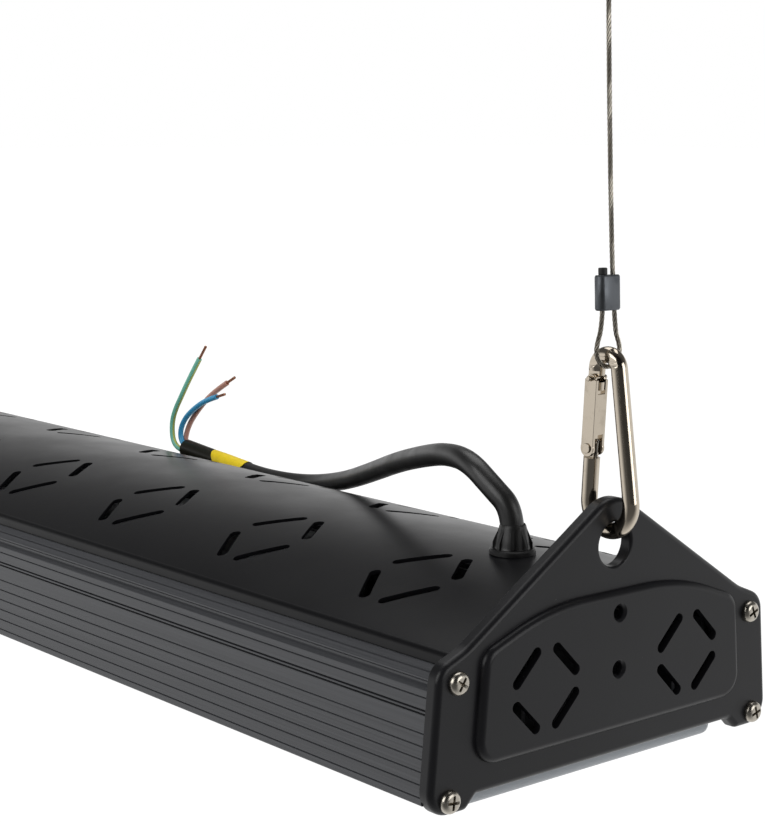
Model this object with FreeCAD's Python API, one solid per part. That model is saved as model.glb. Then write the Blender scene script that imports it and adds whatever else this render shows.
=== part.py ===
"""Hanging shop light: a finned aluminium housing hung from the ceiling on two snap hooks and wire ropes.

Millimetres, +Z up. The origin lies on the ceiling face, midway between the two ceiling eyes, and +X runs
along the housing. The housing is drawn about its own datum, the height midway between the upper and lower
end screws, and is lowered to its place at the end. Pieces of the +X end carry the letter a, and those of
the -X end, which mirror them, the letter b.
"""
import FreeCAD
import Part

import math
import os

from FreeCAD import Vector

# ---------------------------------------------------------------- driving dimensions: housing
LENGTH = 652.0              # over the front faces of the two end plates
SIDE_HALF = 84.2            # half-width of the heat sink at the datum height
SIDE_LEAN = 0.0875          # how much the side walls lean out, per millimetre downwards
SINK_TOP = 24.3             # ledge that the top cover stands on
SINK_BOTTOM = -21.7         # lower edge of the side walls
SINK_WALL = 4.0
WEB_TOP = -12.0
WEB_THICK = 4.0
FIN_THICK = 2.0
FIN_PITCH = 8.0
FIN_COUNT = 4               # fins on each side of the driver bay
FIN_TOP = 20.0
BAY_HALF = 39.0             # half-width of the driver bay between the inner fins
LEDGE_INNER = SIDE_HALF - 13.2      # where the cover's ledge begins
LEDGE_OUTER = SIDE_HALF - 7.8
LEDGE_THICK = 3.0
LIP_Z = 20.8                # outer lip below the ledge
LIP_HALF = SIDE_HALF - 1.8
RAIL_Y = LEDGE_OUTER + 2.8  # narrow square groove in the slope between ledge and lip
RAIL_WIDE = 0.7
RAIL_FLOOR = SINK_TOP - 2.6
GROOVE_DEEP = 0.6
GROOVE_WIDE = 1.0
GROOVES_Z = (14.7, 2.6, -1.7, -6.0, -10.3, -14.6, -18.9)
SEAM_Z = (10.4, 9.1)        # the pair of deep square grooves
SEAM_DEEP = 1.6
SEAM_WIDE = 0.7
PORT_R = 3.6                # round screw ports along the extrusion

# ---------------------------------------------------------------- driving dimensions: top cover
COVER_APEX = 44.2
COVER_SHEET = 1.5
COVER_HALF = LEDGE_OUTER - 0.7      # half-width over its turned-down edges
COVER_BEND = 2.0            # width and height of the bend along each edge
COVER_RISE = 15.136         # crown above the bends
VENT_ROW = 39.6             # each row of vents, measured round the curve from the ridge
VENT_PITCH = 88.0
VENT_MARGIN = 60.0          # least distance from a plate's face to the last diamond's centre
VENT_LENGTH = 22.8          # one slot over its round ends
VENT_WIDTH = 4.6
VENT_SLOPE = 53.8           # angle of a slot from the length of the housing
VENT_X = 10.9               # slot centre from the centre of its diamond
VENT_S = 13.1

# ---------------------------------------------------------------- driving dimensions: end plates
PLATE_THICK = 5.5
PLATE_SIDE = SIDE_HALF + 1.2        # half-width at the datum height
PLATE_ROUND = 2.4           # rounding of the front edge
LUG_HOLE_Z = 56.4
LUG_HOLE_R = 8.0
LUG_R = 16.6
LUG_HOLE_ROUND = 1.2
SHOULDER_Y = SIDE_HALF - 13.7       # where the shoulder's straight fall ends
SHOULDER_Z = SINK_TOP + 6.114
SHOULDER_RISE = 2.2         # the corner of the shoulder above the cover's ledge
SHOULDER_R = 8.0
SHOULDER_BLEND_R = 25.0     # between the fall and the corner
FOOT_BOTTOM = -25.3
FOOT_INNER = SIDE_HALF - 14.2
FOOT_R = 9.0
PLATE_BOTTOM = -20.7
PANEL_RAISE = 3.0
PANEL_SIDE = SIDE_HALF - 17.0       # half-width of the raised panel at the datum height
PANEL_BOTTOM = -10.7
PANEL_APEX = 42.4
PANEL_R = 150.0
PANEL_CORNER = 28.5
PANEL_UPPER_R = 8.0
PANEL_LOWER_R = 9.0
PANEL_LEAST_R = 2.0         # least corner of the panel's pocket
PANEL_CREST = 0.52          # where its top edge turns down, as a share of its half-width
PANEL_CREST_UP = 1.6        # that turn above the arc of the crown
PANEL_CREST_R = 100.0
PANEL_ROUND = 2.8
PANEL_WALL = 3.0
LOUVRE_Y = 36.3             # centre of each slot diamond
LOUVRE_Z = 11.6
LOUVRE_LENGTH = 17.0
LOUVRE_WIDTH = 4.0
LOUVRE_DY = 9.5
LOUVRE_DZ = 8.7
BRACKET_Z = 11.7            # lower threaded bracket hole
BRACKET_SPACING = 20.5
BRACKET_R = 2.5
END_SCREW_UP = (SIDE_HALF - 9.3, 20.0)
END_SCREW_LOW = (SIDE_HALF - 5.8, -20.0)
END_SCREW_R = 2.0
END_HEAD_R = 4.15
END_HEAD = 2.6
END_SCREW_LONG = 16.0

# ---------------------------------------------------------------- driving dimensions: light chamber
BOARD_THICK = 1.6
BOARD_WIDTH = 44.0
BOARD_LENGTH = LENGTH - 72.0
BOARD_Y = 33.0
LED_SIDE = 3.2
LED_THICK = 0.7
LED_ROWS = 2
LED_COUNT = 26
LENS_HALF = SIDE_HALF - 17.9
LENS_BACK = 8.3             # end of the lens behind the plate's front face
LENS_BOTTOM = -28.3
LENS_WALL = 2.0
LENS_ROUND = 3.5
FLANGE_HALF = SIDE_HALF - 10.8
FLANGE_THICK = 2.0
FLANGE_BACK = 7.0
GASKET_THICK = 1.0
GASKET_WIDTH = 4.4
LENS_SCREW_Y = SIDE_HALF - 14.2
LENS_SCREW_PITCH = 120.0
LENS_SCREW_R = 1.5
LENS_HEAD_R = 2.8
LENS_HEAD = 1.9
LENS_SCREW_LONG = 6.0

# ---------------------------------------------------------------- driving dimensions: driver bay
DRIVER_X = LENGTH / 2 - 286.0        # its middle, by the length of its output leads
DRIVER_LENGTH = 220.0
DRIVER_WIDTH = 64.0
DRIVER_HEIGHT = 32.0
DRIVER_WALL = 1.6
LID_THICK = 1.2
LID_LIP = 5.0
FOOT_LONG = 12.0
FOOT_WIDE = 44.0
FOOT_SHEET = 1.5
FOOT_UP = 14.0
DRIVER_SCREW_Y = 15.0
TERMINAL_X = LENGTH / 2 - 104.0
TERMINAL_SIZE = (24.0, 34.0, 17.0)
TERMINAL_WAYS = 3
TERMINAL_PITCH = 10.0
TERMINAL_WIRE_R = 2.2       # wire mouth of each way
TERMINAL_SCREW_R = 2.4      # screw well of each way

# ---------------------------------------------------------------- driving dimensions: cable entry
RELIEF_INSET = 52.0         # cable entry behind the plate's front face
RELIEF_FLANGE_R = 8.8
RELIEF_FLANGE = 2.0
BOOT_R = 7.5
BOOT_TIP_R = 5.05
BOOT_HEIGHT = 9.1
BOOT_RIBS = 8
RELIEF_SHANK_R = 6.5
RELIEF_SHANK = 13.0
NUT_FLATS = 18.0
NUT_THICK = 4.0
CABLE_D = 9.0
CORE_D = 2.8
STRAND_D = 1.5
TAPE_R = 5.0
TAPE_END_R = 3.9
TAPE_LONG = 51.0
TAPE_OVER_SHEATH = 20.0
TAPE_NECK = 9.0             # from the end of the sheath to where the tape has drawn in

# ---------------------------------------------------------------- driving dimensions: suspension
HOOK_WIRE = 6.0             # wire of the snap hook
HOOK_WIDE_R = 10.0          # centreline of the lower bow
HOOK_NARROW_R = 5.3         # centreline of the upper bow
HOOK_SPAN = 47.1            # between the centres of the two bows
HINGE_UP = 19.0             # gate rivet above the centre of the lower bow
TONGUE_THICK = 3.0
TONGUE_START = 3.5          # hinge tongue begins this far below the rivet
GATE_WIDE = 5.6
GATE_SHEET = 1.2
GATE_WEB_FROM = 5.0
GATE_WEB_TO = 19.6
PIN_UP = 25.1               # latch pin above the rivet, along the gate
PIN_R = 0.9
PIN_LONG = 9.2
NOSE_TIP = 21.0
NOSE_ROOT = 27.9
RIVET_R = 1.1
RIVET_HEAD_R = 1.8
RIVET_HEAD = 0.5
SPRING_D = 0.8
DIMPLE_UP = 50.0            # pressed dimples in both limbs, above the centre of the lower bow
DIMPLE_DEEP = 0.5
DIMPLE_R = 5.0
ROPE_D = 1.8
ROPE_SPAN = 168.0           # between the pivots of the two rope loops
ROPE_OFFSET = 2.2           # each rope leg beside the middle of its ferrule
FERRULE_FROM = 15.6         # ferrule begins this far from the pivot
FERRULE_LONG = 12.3
FERRULE_WIDE = 10.6
FERRULE_THICK = 5.0
CAP_LONG = 2.6
CAP_R = 1.6
EYE_INSET = 10.4            # ceiling eye nearer the middle than the lug below it
EYE_ROD = 5.0
EYE_R = 9.5
EYE_DROP = 23.9             # ceiling face to the centre of the eye's lowest bar
EYE_PLATE = 3.0
EYE_PLATE_X = 34.0
EYE_PLATE_Y = 52.0
EYE_CORNER_R = 12.0
EYE_HOLE_PITCH = 36.0
EYE_HOLE_R = 2.5

# ---------------------------------------------------------------- clearances
FIT = 0.1                   # between still pieces that slide together
RUN = 0.3                   # between pieces that turn on each other
LUG_SEAT = 0.5              # hook wire under the rounded rim of the lug hole

# ---------------------------------------------------------------- cord routes
# Loop of the wire rope round its pivot: across, along. The upper loop repeats it upside down.
ROPE_LOOP = ((-2.2, 11.2), (-6.83, 1.37), (-3.3, -4.2), (3.3, -4.2), (6.83, 1.37), (2.2, 11.2))
ROPE_STUB = 29.4            # end of the short leg from the pivot
# Mains cable from inside the cable entry to the taped end: x from the cable entry, y, z above the datum.
CABLE_ROUTE = (
    (0.0, 0.0, 49.0), (0.0, 0.0, 60.5), (-9.0, -2.5, 68.5), (-21.5, -2.6, 76.6), (-41.0, 4.2, 76.0),
    (-64.0, 13.5, 71.2), (-103.0, 32.5, 61.2), (-147.0, 54.5, 48.0), (-187.0, 72.8, 36.3),
    (-222.0, 84.0, 28.2), (-246.0, 86.0, 25.2), (-268.0, 85.6, 24.6), (-285.0, 84.6, 26.0),
    (-303.0, 83.6, 28.0))
# Cores from the end of the tape: x from the cable entry, y, z above the datum.
EARTH_ROUTE = (
    (-333.76, 79.7, 30.5), (-338.0, 79.5, 31.0), (-342.4, 79.3, 34.4), (-343.2, 79.1, 40.4),
    (-341.8, 78.7, 46.6), (-338.2, 78.4, 52.8), (-333.1, 78.2, 59.2), (-325.3, 78.5, 70.2),
    (-317.6, 79.6, 81.1))
NEUTRAL_ROUTE = (
    (-333.6, 81.9, 33.0), (-336.8, 81.7, 33.4), (-338.9, 81.6, 36.9), (-338.0, 81.3, 41.6),
    (-334.8, 81.0, 46.0), (-330.0, 80.6, 50.2), (-321.8, 80.1, 55.2), (-312.4, 80.0, 59.8),
    (-303.3, 80.4, 62.6))
LIVE_ROUTE = (
    (-334.0, 84.1, 30.5), (-336.7, 84.0, 30.8), (-338.4, 84.2, 34.2), (-337.0, 84.4, 39.6),
    (-333.6, 84.2, 44.8), (-329.0, 83.9, 49.4), (-322.0, 83.3, 55.2), (-311.0, 82.9, 63.4),
    (-298.5, 83.4, 70.1))

# ---------------------------------------------------------------- derived places
PLATE_FACE = LENGTH / 2
SINK_HALF = PLATE_FACE - PLATE_THICK
COVER_R = ((COVER_HALF - COVER_BEND) ** 2 + COVER_RISE ** 2) / (2 * COVER_RISE)
COVER_CENTRE = COVER_APEX - COVER_R
VENT_COUNT = int((LENGTH - 2 * VENT_MARGIN) // VENT_PITCH) + 1
SHOULDER_DROP = LUG_HOLE_Z - SHOULDER_Z
LUG_SLOPE = math.atan2(SHOULDER_DROP, SHOULDER_Y) + math.asin(LUG_R / math.hypot(SHOULDER_DROP, SHOULDER_Y))
LUG_X = PLATE_FACE - PLATE_THICK / 2
LUG_PIVOT_Z = LUG_HOLE_Z + LUG_HOLE_R - LUG_SEAT - HOOK_WIRE / 2
HOOK_PIVOTS = HOOK_SPAN + HOOK_WIDE_R + HOOK_NARROW_R
HANG_LENGTH = HOOK_PIVOTS + ROPE_SPAN
HANG_LEAN = math.degrees(math.asin(EYE_INSET / HANG_LENGTH))
HANG_HEIGHT = math.sqrt(HANG_LENGTH ** 2 - EYE_INSET ** 2)
DATUM_DROP = EYE_DROP + HANG_HEIGHT + LUG_PIVOT_Z
EYE_X = LUG_X - EYE_INSET
HOOK_TAPER = math.asin((HOOK_WIDE_R - HOOK_NARROW_R) / HOOK_SPAN)
RELIEF_X = PLATE_FACE - RELIEF_INSET
WEB_BOTTOM = WEB_TOP - WEB_THICK
FLANGE_TOP = WEB_BOTTOM - GASKET_THICK

X_AXIS = Vector(1, 0, 0)
Y_AXIS = Vector(0, 1, 0)
Z_AXIS = Vector(0, 0, 1)
ORIGIN = Vector(0, 0, 0)


# ---------------------------------------------------------------- drawing helpers
def in_yz(x):
    """Return the map from a section's (across, up) to space, at the given x."""
    return lambda across, up: Vector(x, across, up)


def in_xz(y):
    """Return the map from (along, up) to space, at the given y."""
    return lambda along, up: Vector(along, y, up)


def in_xy(z):
    """Return the map from (along, across) to space, at the given z."""
    return lambda along, across: Vector(along, across, z)


def corner_points(before, corner, after, radius):
    """Return where a corner's round starts, its middle and where it stops."""
    to_before = (before - corner).normalize()
    to_after = (after - corner).normalize()
    half = to_before.getAngle(to_after) / 2
    reach = radius / math.tan(half)
    middle = corner + (to_before + to_after).normalize() * (radius / math.sin(half) - radius)
    return corner + to_before * reach, middle, corner + to_after * reach


def outline(corners, place):
    """Closed wire through corners (u, v, radius), each rounded by its own radius."""
    points = [place(u, v) for u, v, _ in corners]
    rounds = []
    for index, (_, _, radius) in enumerate(corners):
        corner = points[index]
        if radius > 0:
            after = points[(index + 1) % len(points)]
            rounds.append(corner_points(points[index - 1], corner, after, radius))
        else:
            rounds.append((corner, None, corner))
    edges = []
    for index, (start, middle, stop) in enumerate(rounds):
        if middle is not None:
            edges.append(Part.Arc(start, middle, stop).toShape())
        following = rounds[(index + 1) % len(rounds)][0]
        if (following - stop).Length > 1e-6:
            edges.append(Part.LineSegment(stop, following).toShape())
    return Part.Wire(edges)


def face(corners, place):
    """Flat face inside a rounded outline."""
    return Part.Face(outline(corners, place))


def both_sides(corners):
    """Close a half outline, given from top to bottom at positive u, with its mirror image."""
    mirrored = [(-u, v, radius) for u, v, radius in reversed(corners) if u > 1e-9]
    return list(corners) + mirrored


def bar(x_from, x_to, y_from, y_to, z_from, z_to):
    """Box between two corners."""
    size = (x_to - x_from, y_to - y_from, z_to - z_from)
    return Part.makeBox(size[0], size[1], size[2], Vector(x_from, y_from, z_from))


def rod(radius, start, stop):
    """Round rod between two points."""
    along = stop - start
    return Part.makeCylinder(radius, along.Length, start, along)


def fused(shapes):
    """One clean solid of several overlapping ones."""
    return shapes[0].fuse(list(shapes[1:])).removeSplitter()


def slot_prism(length, width, depth):
    """Slot with round ends, lying along X and centred on the origin, cut depth thick along Z."""
    end = width / 2
    reach = length / 2 - end
    level = -depth / 2
    right_low = Vector(reach, -end, level)
    right_high = Vector(reach, end, level)
    left_low = Vector(-reach, -end, level)
    left_high = Vector(-reach, end, level)
    edges = [Part.LineSegment(left_low, right_low),
             Part.Arc(right_low, Vector(length / 2, 0, level), right_high),
             Part.LineSegment(right_high, left_high),
             Part.Arc(left_high, Vector(-length / 2, 0, level), left_low)]
    return Part.Face(Part.Wire([edge.toShape() for edge in edges])).extrude(Vector(0, 0, depth))


def edges_at(shape, test):
    """Edges whose every vertex passes the test."""
    return [edge for edge in shape.Edges if all(test(vertex.Point) for vertex in edge.Vertexes)]


def mirrored(shape):
    """The same piece at the other end of the housing."""
    return shape.mirror(ORIGIN, X_AXIS)


def lowered(shape):
    """Move a housing piece from its datum to its place under the ceiling."""
    moved = shape.copy()
    moved.translate(Vector(0, 0, -DATUM_DROP))
    return moved


def on_hang_line(shape, up):
    """Place a suspension piece, drawn about its own pivot, up the leaning line from the lug."""
    moved = shape.copy()
    moved.translate(Vector(0, 0, up))
    moved.rotate(ORIGIN, Y_AXIS, -HANG_LEAN)
    moved.translate(Vector(LUG_X, 0, LUG_PIVOT_Z - DATUM_DROP))
    return moved


# ---------------------------------------------------------------- heat sink
def side_at(z, inset=0.0):
    """Half-width of the leaning side wall at a height."""
    return SIDE_HALF - SIDE_LEAN * z - inset


def sink_wall():
    """Section of the +Y wall with its ledge, lip, cove and ridge."""
    cove_z = LIP_Z - 1.3
    ridge_z = LIP_Z - 3.6
    ledge_under = SINK_TOP - LEDGE_THICK
    return [(LEDGE_INNER, SINK_TOP, 0), (LEDGE_OUTER, SINK_TOP, 0.4), (LIP_HALF, LIP_Z, 0.5),
            (side_at(cove_z, 2.2), cove_z, 0.6), (side_at(cove_z, 2.2) + 0.2, ridge_z + 1.4, 0.6),
            (side_at(ridge_z), ridge_z, 0.7), (side_at(SINK_BOTTOM), SINK_BOTTOM, 0.8),
            (side_at(SINK_BOTTOM, SINK_WALL), SINK_BOTTOM, 0.8),
            (side_at(ledge_under, SINK_WALL), ledge_under, 0.8), (LEDGE_INNER, ledge_under, 0)]


def heat_sink():
    """Extruded aluminium body: two walls, a web with fins, four screw ports and the outer grooves."""
    place = in_yz(-SINK_HALF)
    walls = face(sink_wall(), place)
    walls = walls.fuse(walls.mirror(ORIGIN, Y_AXIS))
    web_reach = side_at(WEB_TOP, SINK_WALL / 2)
    webs = [(web_reach, WEB_TOP, 0), (web_reach, WEB_BOTTOM, 0)]
    parts = [face(both_sides(webs), place)]
    for side in (-1, 1):
        for index in range(FIN_COUNT):
            middle = side * (BAY_HALF + index * FIN_PITCH)
            half = FIN_THICK / 2
            fin = [(middle + half, FIN_TOP, 0), (middle + half, WEB_TOP - 1, 0),
                   (middle - half, WEB_TOP - 1, 0), (middle - half, FIN_TOP, 0)]
            parts.append(face(fin, place))
        for port_y, port_z in (END_SCREW_UP, END_SCREW_LOW):
            centre = Vector(-SINK_HALF, side * port_y, port_z)
            parts.append(Part.Face(Part.Wire(Part.makeCircle(PORT_R, centre, X_AXIS))))
        low_y, low_z = END_SCREW_LOW
        tie_in = side * (low_y - PORT_R)
        tie_out = side * side_at(low_z, SINK_WALL / 2)
        tie = [(tie_in, WEB_TOP - 1, 0), (tie_out, WEB_TOP - 1, 0), (tie_out, low_z, 0), (tie_in, low_z, 0)]
        parts.append(face(tie, place))
    section = walls.fuse(parts).removeSplitter()
    section = section.cut(sink_cuts(place)).removeSplitter()
    body = section.extrude(Vector(2 * SINK_HALF, 0, 0))
    body = body.Solids[0] if body.Solids else body
    return body.cut(lens_screw_holes(WEB_TOP + 1, WEB_BOTTOM - 1) + driver_screw_holes())


def sink_cuts(place):
    """Faces cut out of the sink's section: grooves, the deep pair, the rail and the screw ports' bores."""
    cuts = []
    for side in (-1, 1):
        rail_in = side * (RAIL_Y - RAIL_WIDE / 2)
        rail_out = side * (RAIL_Y + RAIL_WIDE / 2)
        rail = [(rail_in, SINK_TOP, 0), (rail_out, SINK_TOP, 0), (rail_out, RAIL_FLOOR, 0),
                (rail_in, RAIL_FLOOR, 0)]
        cuts.append(face(rail, place))
        for z in GROOVES_Z:
            half = GROOVE_WIDE / 2
            mouth = 0.5
            groove = [(side * side_at(z, -mouth), z + half, 0), (side * side_at(z, GROOVE_DEEP), z, 0),
                      (side * side_at(z, -mouth), z - half, 0)]
            cuts.append(face(groove, place))
        for z in SEAM_Z:
            half = SEAM_WIDE / 2
            seam = [(side * side_at(z, -1), z + half, 0), (side * side_at(z, SEAM_DEEP), z + half, 0),
                    (side * side_at(z, SEAM_DEEP), z - half, 0), (side * side_at(z, -1), z - half, 0)]
            cuts.append(face(seam, place))
        for port_y, port_z in (END_SCREW_UP, END_SCREW_LOW):
            centre = Vector(-SINK_HALF, side * port_y, port_z)
            ring = Part.makeCircle(END_SCREW_R + FIT, centre, X_AXIS)
            cuts.append(Part.Face(Part.Wire(ring)))
    return cuts


# ---------------------------------------------------------------- top cover
def cover_z(y, inset=0.0):
    """Height of the curved sheet, or of its inner side, at a distance from the ridge."""
    return COVER_CENTRE + math.sqrt((COVER_R - inset) ** 2 - y ** 2)


def cover_shell():
    """Curved sheet with both long edges turned down onto the ledges of the heat sink."""
    edge = COVER_HALF - COVER_BEND
    inner_edge = COVER_HALF - COVER_SHEET
    outer_bend = Vector(-SINK_HALF, COVER_HALF - 0.5, cover_z(edge) - 0.9)
    outer_low = Vector(-SINK_HALF, COVER_HALF, cover_z(edge) - COVER_BEND)
    foot = Vector(-SINK_HALF, COVER_HALF, SINK_TOP)
    inner_foot = Vector(-SINK_HALF, inner_edge, SINK_TOP)
    inner_top = Vector(-SINK_HALF, inner_edge, cover_z(edge) - COVER_BEND)
    inner_bend = Vector(-SINK_HALF, edge - 0.6, cover_z(edge - 0.6, COVER_SHEET))

    def flip(point):
        return Vector(point.x, -point.y, point.z)

    outer_end = Vector(-SINK_HALF, edge, cover_z(edge))
    apex = Vector(-SINK_HALF, 0, COVER_APEX)
    inner_apex = Vector(-SINK_HALF, 0, COVER_APEX - COVER_SHEET)
    edges = [Part.Arc(flip(outer_end), apex, outer_end), Part.Arc(outer_end, outer_bend, outer_low),
             Part.LineSegment(outer_low, foot), Part.LineSegment(foot, inner_foot),
             Part.LineSegment(inner_foot, inner_top), Part.LineSegment(inner_top, inner_bend),
             Part.Arc(inner_bend, inner_apex, flip(inner_bend)),
             Part.LineSegment(flip(inner_bend), flip(inner_top)),
             Part.LineSegment(flip(inner_top), flip(inner_foot)),
             Part.LineSegment(flip(inner_foot), flip(foot)), Part.LineSegment(flip(foot), flip(outer_low)),
             Part.Arc(flip(outer_low), flip(outer_bend), flip(outer_end))]
    section = Part.Face(Part.Wire([edge_curve.toShape() for edge_curve in edges]))
    return section.extrude(Vector(2 * SINK_HALF, 0, 0))


def vent_slots():
    """Slots of all the vent diamonds, wrapped round the curve of the cover."""
    slots = []
    for row in (-1, 1):
        for index in range(VENT_COUNT):
            centre_x = (index - (VENT_COUNT - 1) / 2) * VENT_PITCH
            for along in (-1, 1):
                for around in (-1, 1):
                    slot = slot_prism(VENT_LENGTH, VENT_WIDTH, 4 * COVER_SHEET)
                    slot.rotate(ORIGIN, Z_AXIS, -along * around * VENT_SLOPE)
                    slot.translate(Vector(centre_x + along * VENT_X, 0, COVER_R))
                    arc = row * VENT_ROW + around * VENT_S
                    slot.rotate(ORIGIN, X_AXIS, -math.degrees(arc / COVER_R))
                    slot.translate(Vector(0, 0, COVER_CENTRE))
                    slots.append(slot)
    return slots


def top_cover():
    """Vented sheet cover with the hole for the cable entry."""
    top = Vector(RELIEF_X, 0, COVER_APEX + 5)
    hole = rod(RELIEF_SHANK_R + FIT, Vector(RELIEF_X, 0, COVER_APEX - 5), top)
    return cover_shell().cut(vent_slots() + [hole])


# ---------------------------------------------------------------- end plates
def plate_side(z):
    """Half-width of the end plate at a height."""
    return PLATE_SIDE - SIDE_LEAN * z


def plate_outline():
    """Outline of the end plate: lug, sloping shoulders, leaning sides and two feet."""
    apex = LUG_HOLE_Z + LUG_R / math.cos(LUG_SLOPE)
    shoulder_z = SINK_TOP + SHOULDER_RISE
    foot_side = plate_side(FOOT_BOTTOM)
    rise = PLATE_BOTTOM - FOOT_BOTTOM
    half = [(0, apex, LUG_R), (SHOULDER_Y, SHOULDER_Z, SHOULDER_BLEND_R),
            (plate_side(shoulder_z), shoulder_z - 1.2, SHOULDER_R), (foot_side, FOOT_BOTTOM, FOOT_R),
            (FOOT_INNER, FOOT_BOTTOM, 3.0), (FOOT_INNER - rise, PLATE_BOTTOM, 1.5)]
    return both_sides(half)


def panel_outline(inset):
    """Outline of the raised panel, drawn in by the inset."""
    def side(z):
        return PANEL_SIDE - SIDE_LEAN * z - inset
    top = PANEL_APEX - inset
    corner = PANEL_CORNER - inset
    bottom = PANEL_BOTTOM + inset
    upper_r = max(PANEL_UPPER_R - inset, PANEL_LEAST_R)
    lower_r = max(PANEL_LOWER_R - inset, PANEL_LEAST_R)
    crest = side(corner) * PANEL_CREST
    crest_z = top - PANEL_R + math.sqrt(PANEL_R ** 2 - crest ** 2) + PANEL_CREST_UP
    half = [(crest, crest_z, PANEL_CREST_R), (side(corner), corner, upper_r), (side(bottom), bottom, lower_r)]
    return both_sides(half)


def louvre_slots():
    """The two diamonds of slots in the raised panel."""
    slots = []
    for side in (-1, 1):
        for across in (-1, 1):
            for up in (-1, 1):
                slot = slot_prism(LOUVRE_LENGTH, LOUVRE_WIDTH, 4 * (PLATE_THICK + PANEL_RAISE))
                slot.rotate(ORIGIN, Z_AXIS, -across * up * 45)
                slot.rotate(ORIGIN, Z_AXIS, 90)
                slot.rotate(ORIGIN, Y_AXIS, 90)
                slot.translate(Vector(PLATE_FACE, side * LOUVRE_Y + across * LOUVRE_DY,
                                      LOUVRE_Z + up * LOUVRE_DZ))
                slots.append(slot)
    return slots


def end_plate():
    """Cast end plate with its hanging lug, raised vented panel, pocketed back and two bracket holes."""
    back = PLATE_FACE - PLATE_THICK
    plate = face(plate_outline(), in_yz(back)).extrude(Vector(PLATE_THICK, 0, 0))
    front_edges = edges_at(plate, lambda point: abs(point.x - PLATE_FACE) < 1e-6)
    plate = plate.makeFillet(PLATE_ROUND, front_edges)
    panel = face(panel_outline(0), in_yz(back + 1)).extrude(Vector(PLATE_THICK - 1 + PANEL_RAISE, 0, 0))
    rim = edges_at(panel, lambda point: point.x > PLATE_FACE + PANEL_RAISE - 1e-6)
    panel = panel.makeFillet(PANEL_ROUND, rim)
    pocket = face(panel_outline(PANEL_WALL), in_yz(back - 1))
    pocket = pocket.extrude(Vector(PLATE_THICK + PANEL_RAISE - PANEL_WALL + 1, 0, 0))
    bores = []
    for side in (-1, 1):
        for y, z in (END_SCREW_UP, END_SCREW_LOW):
            bores.append(rod(END_SCREW_R + 2 * FIT, Vector(back - 1, side * y, z),
                             Vector(PLATE_FACE + 1, side * y, z)))
    bores.append(rod(LUG_HOLE_R, Vector(back - 1, 0, LUG_HOLE_Z), Vector(PLATE_FACE + 1, 0, LUG_HOLE_Z)))
    front = PLATE_FACE + PANEL_RAISE
    for z in (BRACKET_Z, BRACKET_Z + BRACKET_SPACING):
        bores.append(rod(BRACKET_R, Vector(back - 1, 0, z), Vector(front + 1, 0, z)))
        bores.append(Part.makeCone(BRACKET_R, BRACKET_R + 1, 1.0, Vector(front - 1, 0, z), X_AXIS))
    plate = plate.fuse(panel).cut([pocket] + bores + louvre_slots())
    rims = [edge for edge in plate.Edges
            if abs(edge.Length - 2 * math.pi * LUG_HOLE_R) < 1e-3
            and (edge.CenterOfMass - Vector(edge.CenterOfMass.x, 0, LUG_HOLE_Z)).Length < 1e-3]
    return plate.makeFillet(LUG_HOLE_ROUND, rims)


# ---------------------------------------------------------------- screws
def pan_screw(radius, head_r, head, length, seat, inward):
    """Pan head screw, its head on the seat and its shank running inward."""
    edge = head * 0.45
    profile = [(0, -length), (radius, -length), (radius, 0), (head_r, 0), (head_r, head - edge),
               (head_r - edge, head), (0, head)]
    points = [Vector(r, 0, z) for r, z in profile]
    screw = Part.Face(Part.makePolygon(points + points[:1])).revolve(ORIGIN, Z_AXIS, 360)
    screw.Placement = FreeCAD.Placement(seat, FreeCAD.Rotation(Z_AXIS, inward * -1))
    return screw


def end_screws():
    """Four screws that hold the end plate to the screw ports."""
    screws = []
    for side in (-1, 1):
        for y, z in (END_SCREW_UP, END_SCREW_LOW):
            seat = Vector(PLATE_FACE, side * y, z)
            screws.append(pan_screw(END_SCREW_R, END_HEAD_R, END_HEAD, END_SCREW_LONG, seat, X_AXIS * -1))
    return Part.makeCompound(screws)


# ---------------------------------------------------------------- light chamber
def lens_screw_places():
    """Where the lens screws stand, as (x, y)."""
    half_count = int((SINK_HALF - LENS_SCREW_PITCH / 2) // LENS_SCREW_PITCH)
    places = []
    for side in (-1, 1):
        for index in range(-half_count - 1, half_count + 1):
            places.append(((index + 0.5) * LENS_SCREW_PITCH, side * LENS_SCREW_Y))
    return places


def lens_screw_holes(z_from, z_to):
    """Clearance holes for the lens screws."""
    return [rod(LENS_SCREW_R + FIT, Vector(x, y, z_from), Vector(x, y, z_to)) for x, y in lens_screw_places()]


def led_board(side):
    """Printed circuit board under the web, on one side of the middle."""
    middle = side * BOARD_Y
    board = bar(-BOARD_LENGTH / 2, BOARD_LENGTH / 2, middle - BOARD_WIDTH / 2, middle + BOARD_WIDTH / 2,
                WEB_BOTTOM - BOARD_THICK, WEB_BOTTOM)
    return board.makeFillet(3.0, [edge for edge in board.Edges if abs(edge.Length - BOARD_THICK) < 1e-6])


def leds(side):
    """Rows of light emitters on one board."""
    chips = []
    pitch = BOARD_LENGTH / LED_COUNT
    row_pitch = BOARD_WIDTH / LED_ROWS
    for row in range(LED_ROWS):
        y = side * BOARD_Y + (row - (LED_ROWS - 1) / 2) * row_pitch
        for index in range(LED_COUNT):
            x = (index - (LED_COUNT - 1) / 2) * pitch
            top = WEB_BOTTOM - BOARD_THICK
            chips.append(bar(x - LED_SIDE / 2, x + LED_SIDE / 2, y - LED_SIDE / 2, y + LED_SIDE / 2,
                             top - LED_THICK, top))
    return Part.makeCompound(chips)


def rounded_plate(half_x, half_y, radius, z_from, z_to):
    """Flat plate centred on the housing, with rounded corners."""
    corners = [(half_x, half_y, radius), (-half_x, half_y, radius), (-half_x, -half_y, radius),
               (half_x, -half_y, radius)]
    return face(corners, in_xy(z_from)).extrude(Vector(0, 0, z_to - z_from))


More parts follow.
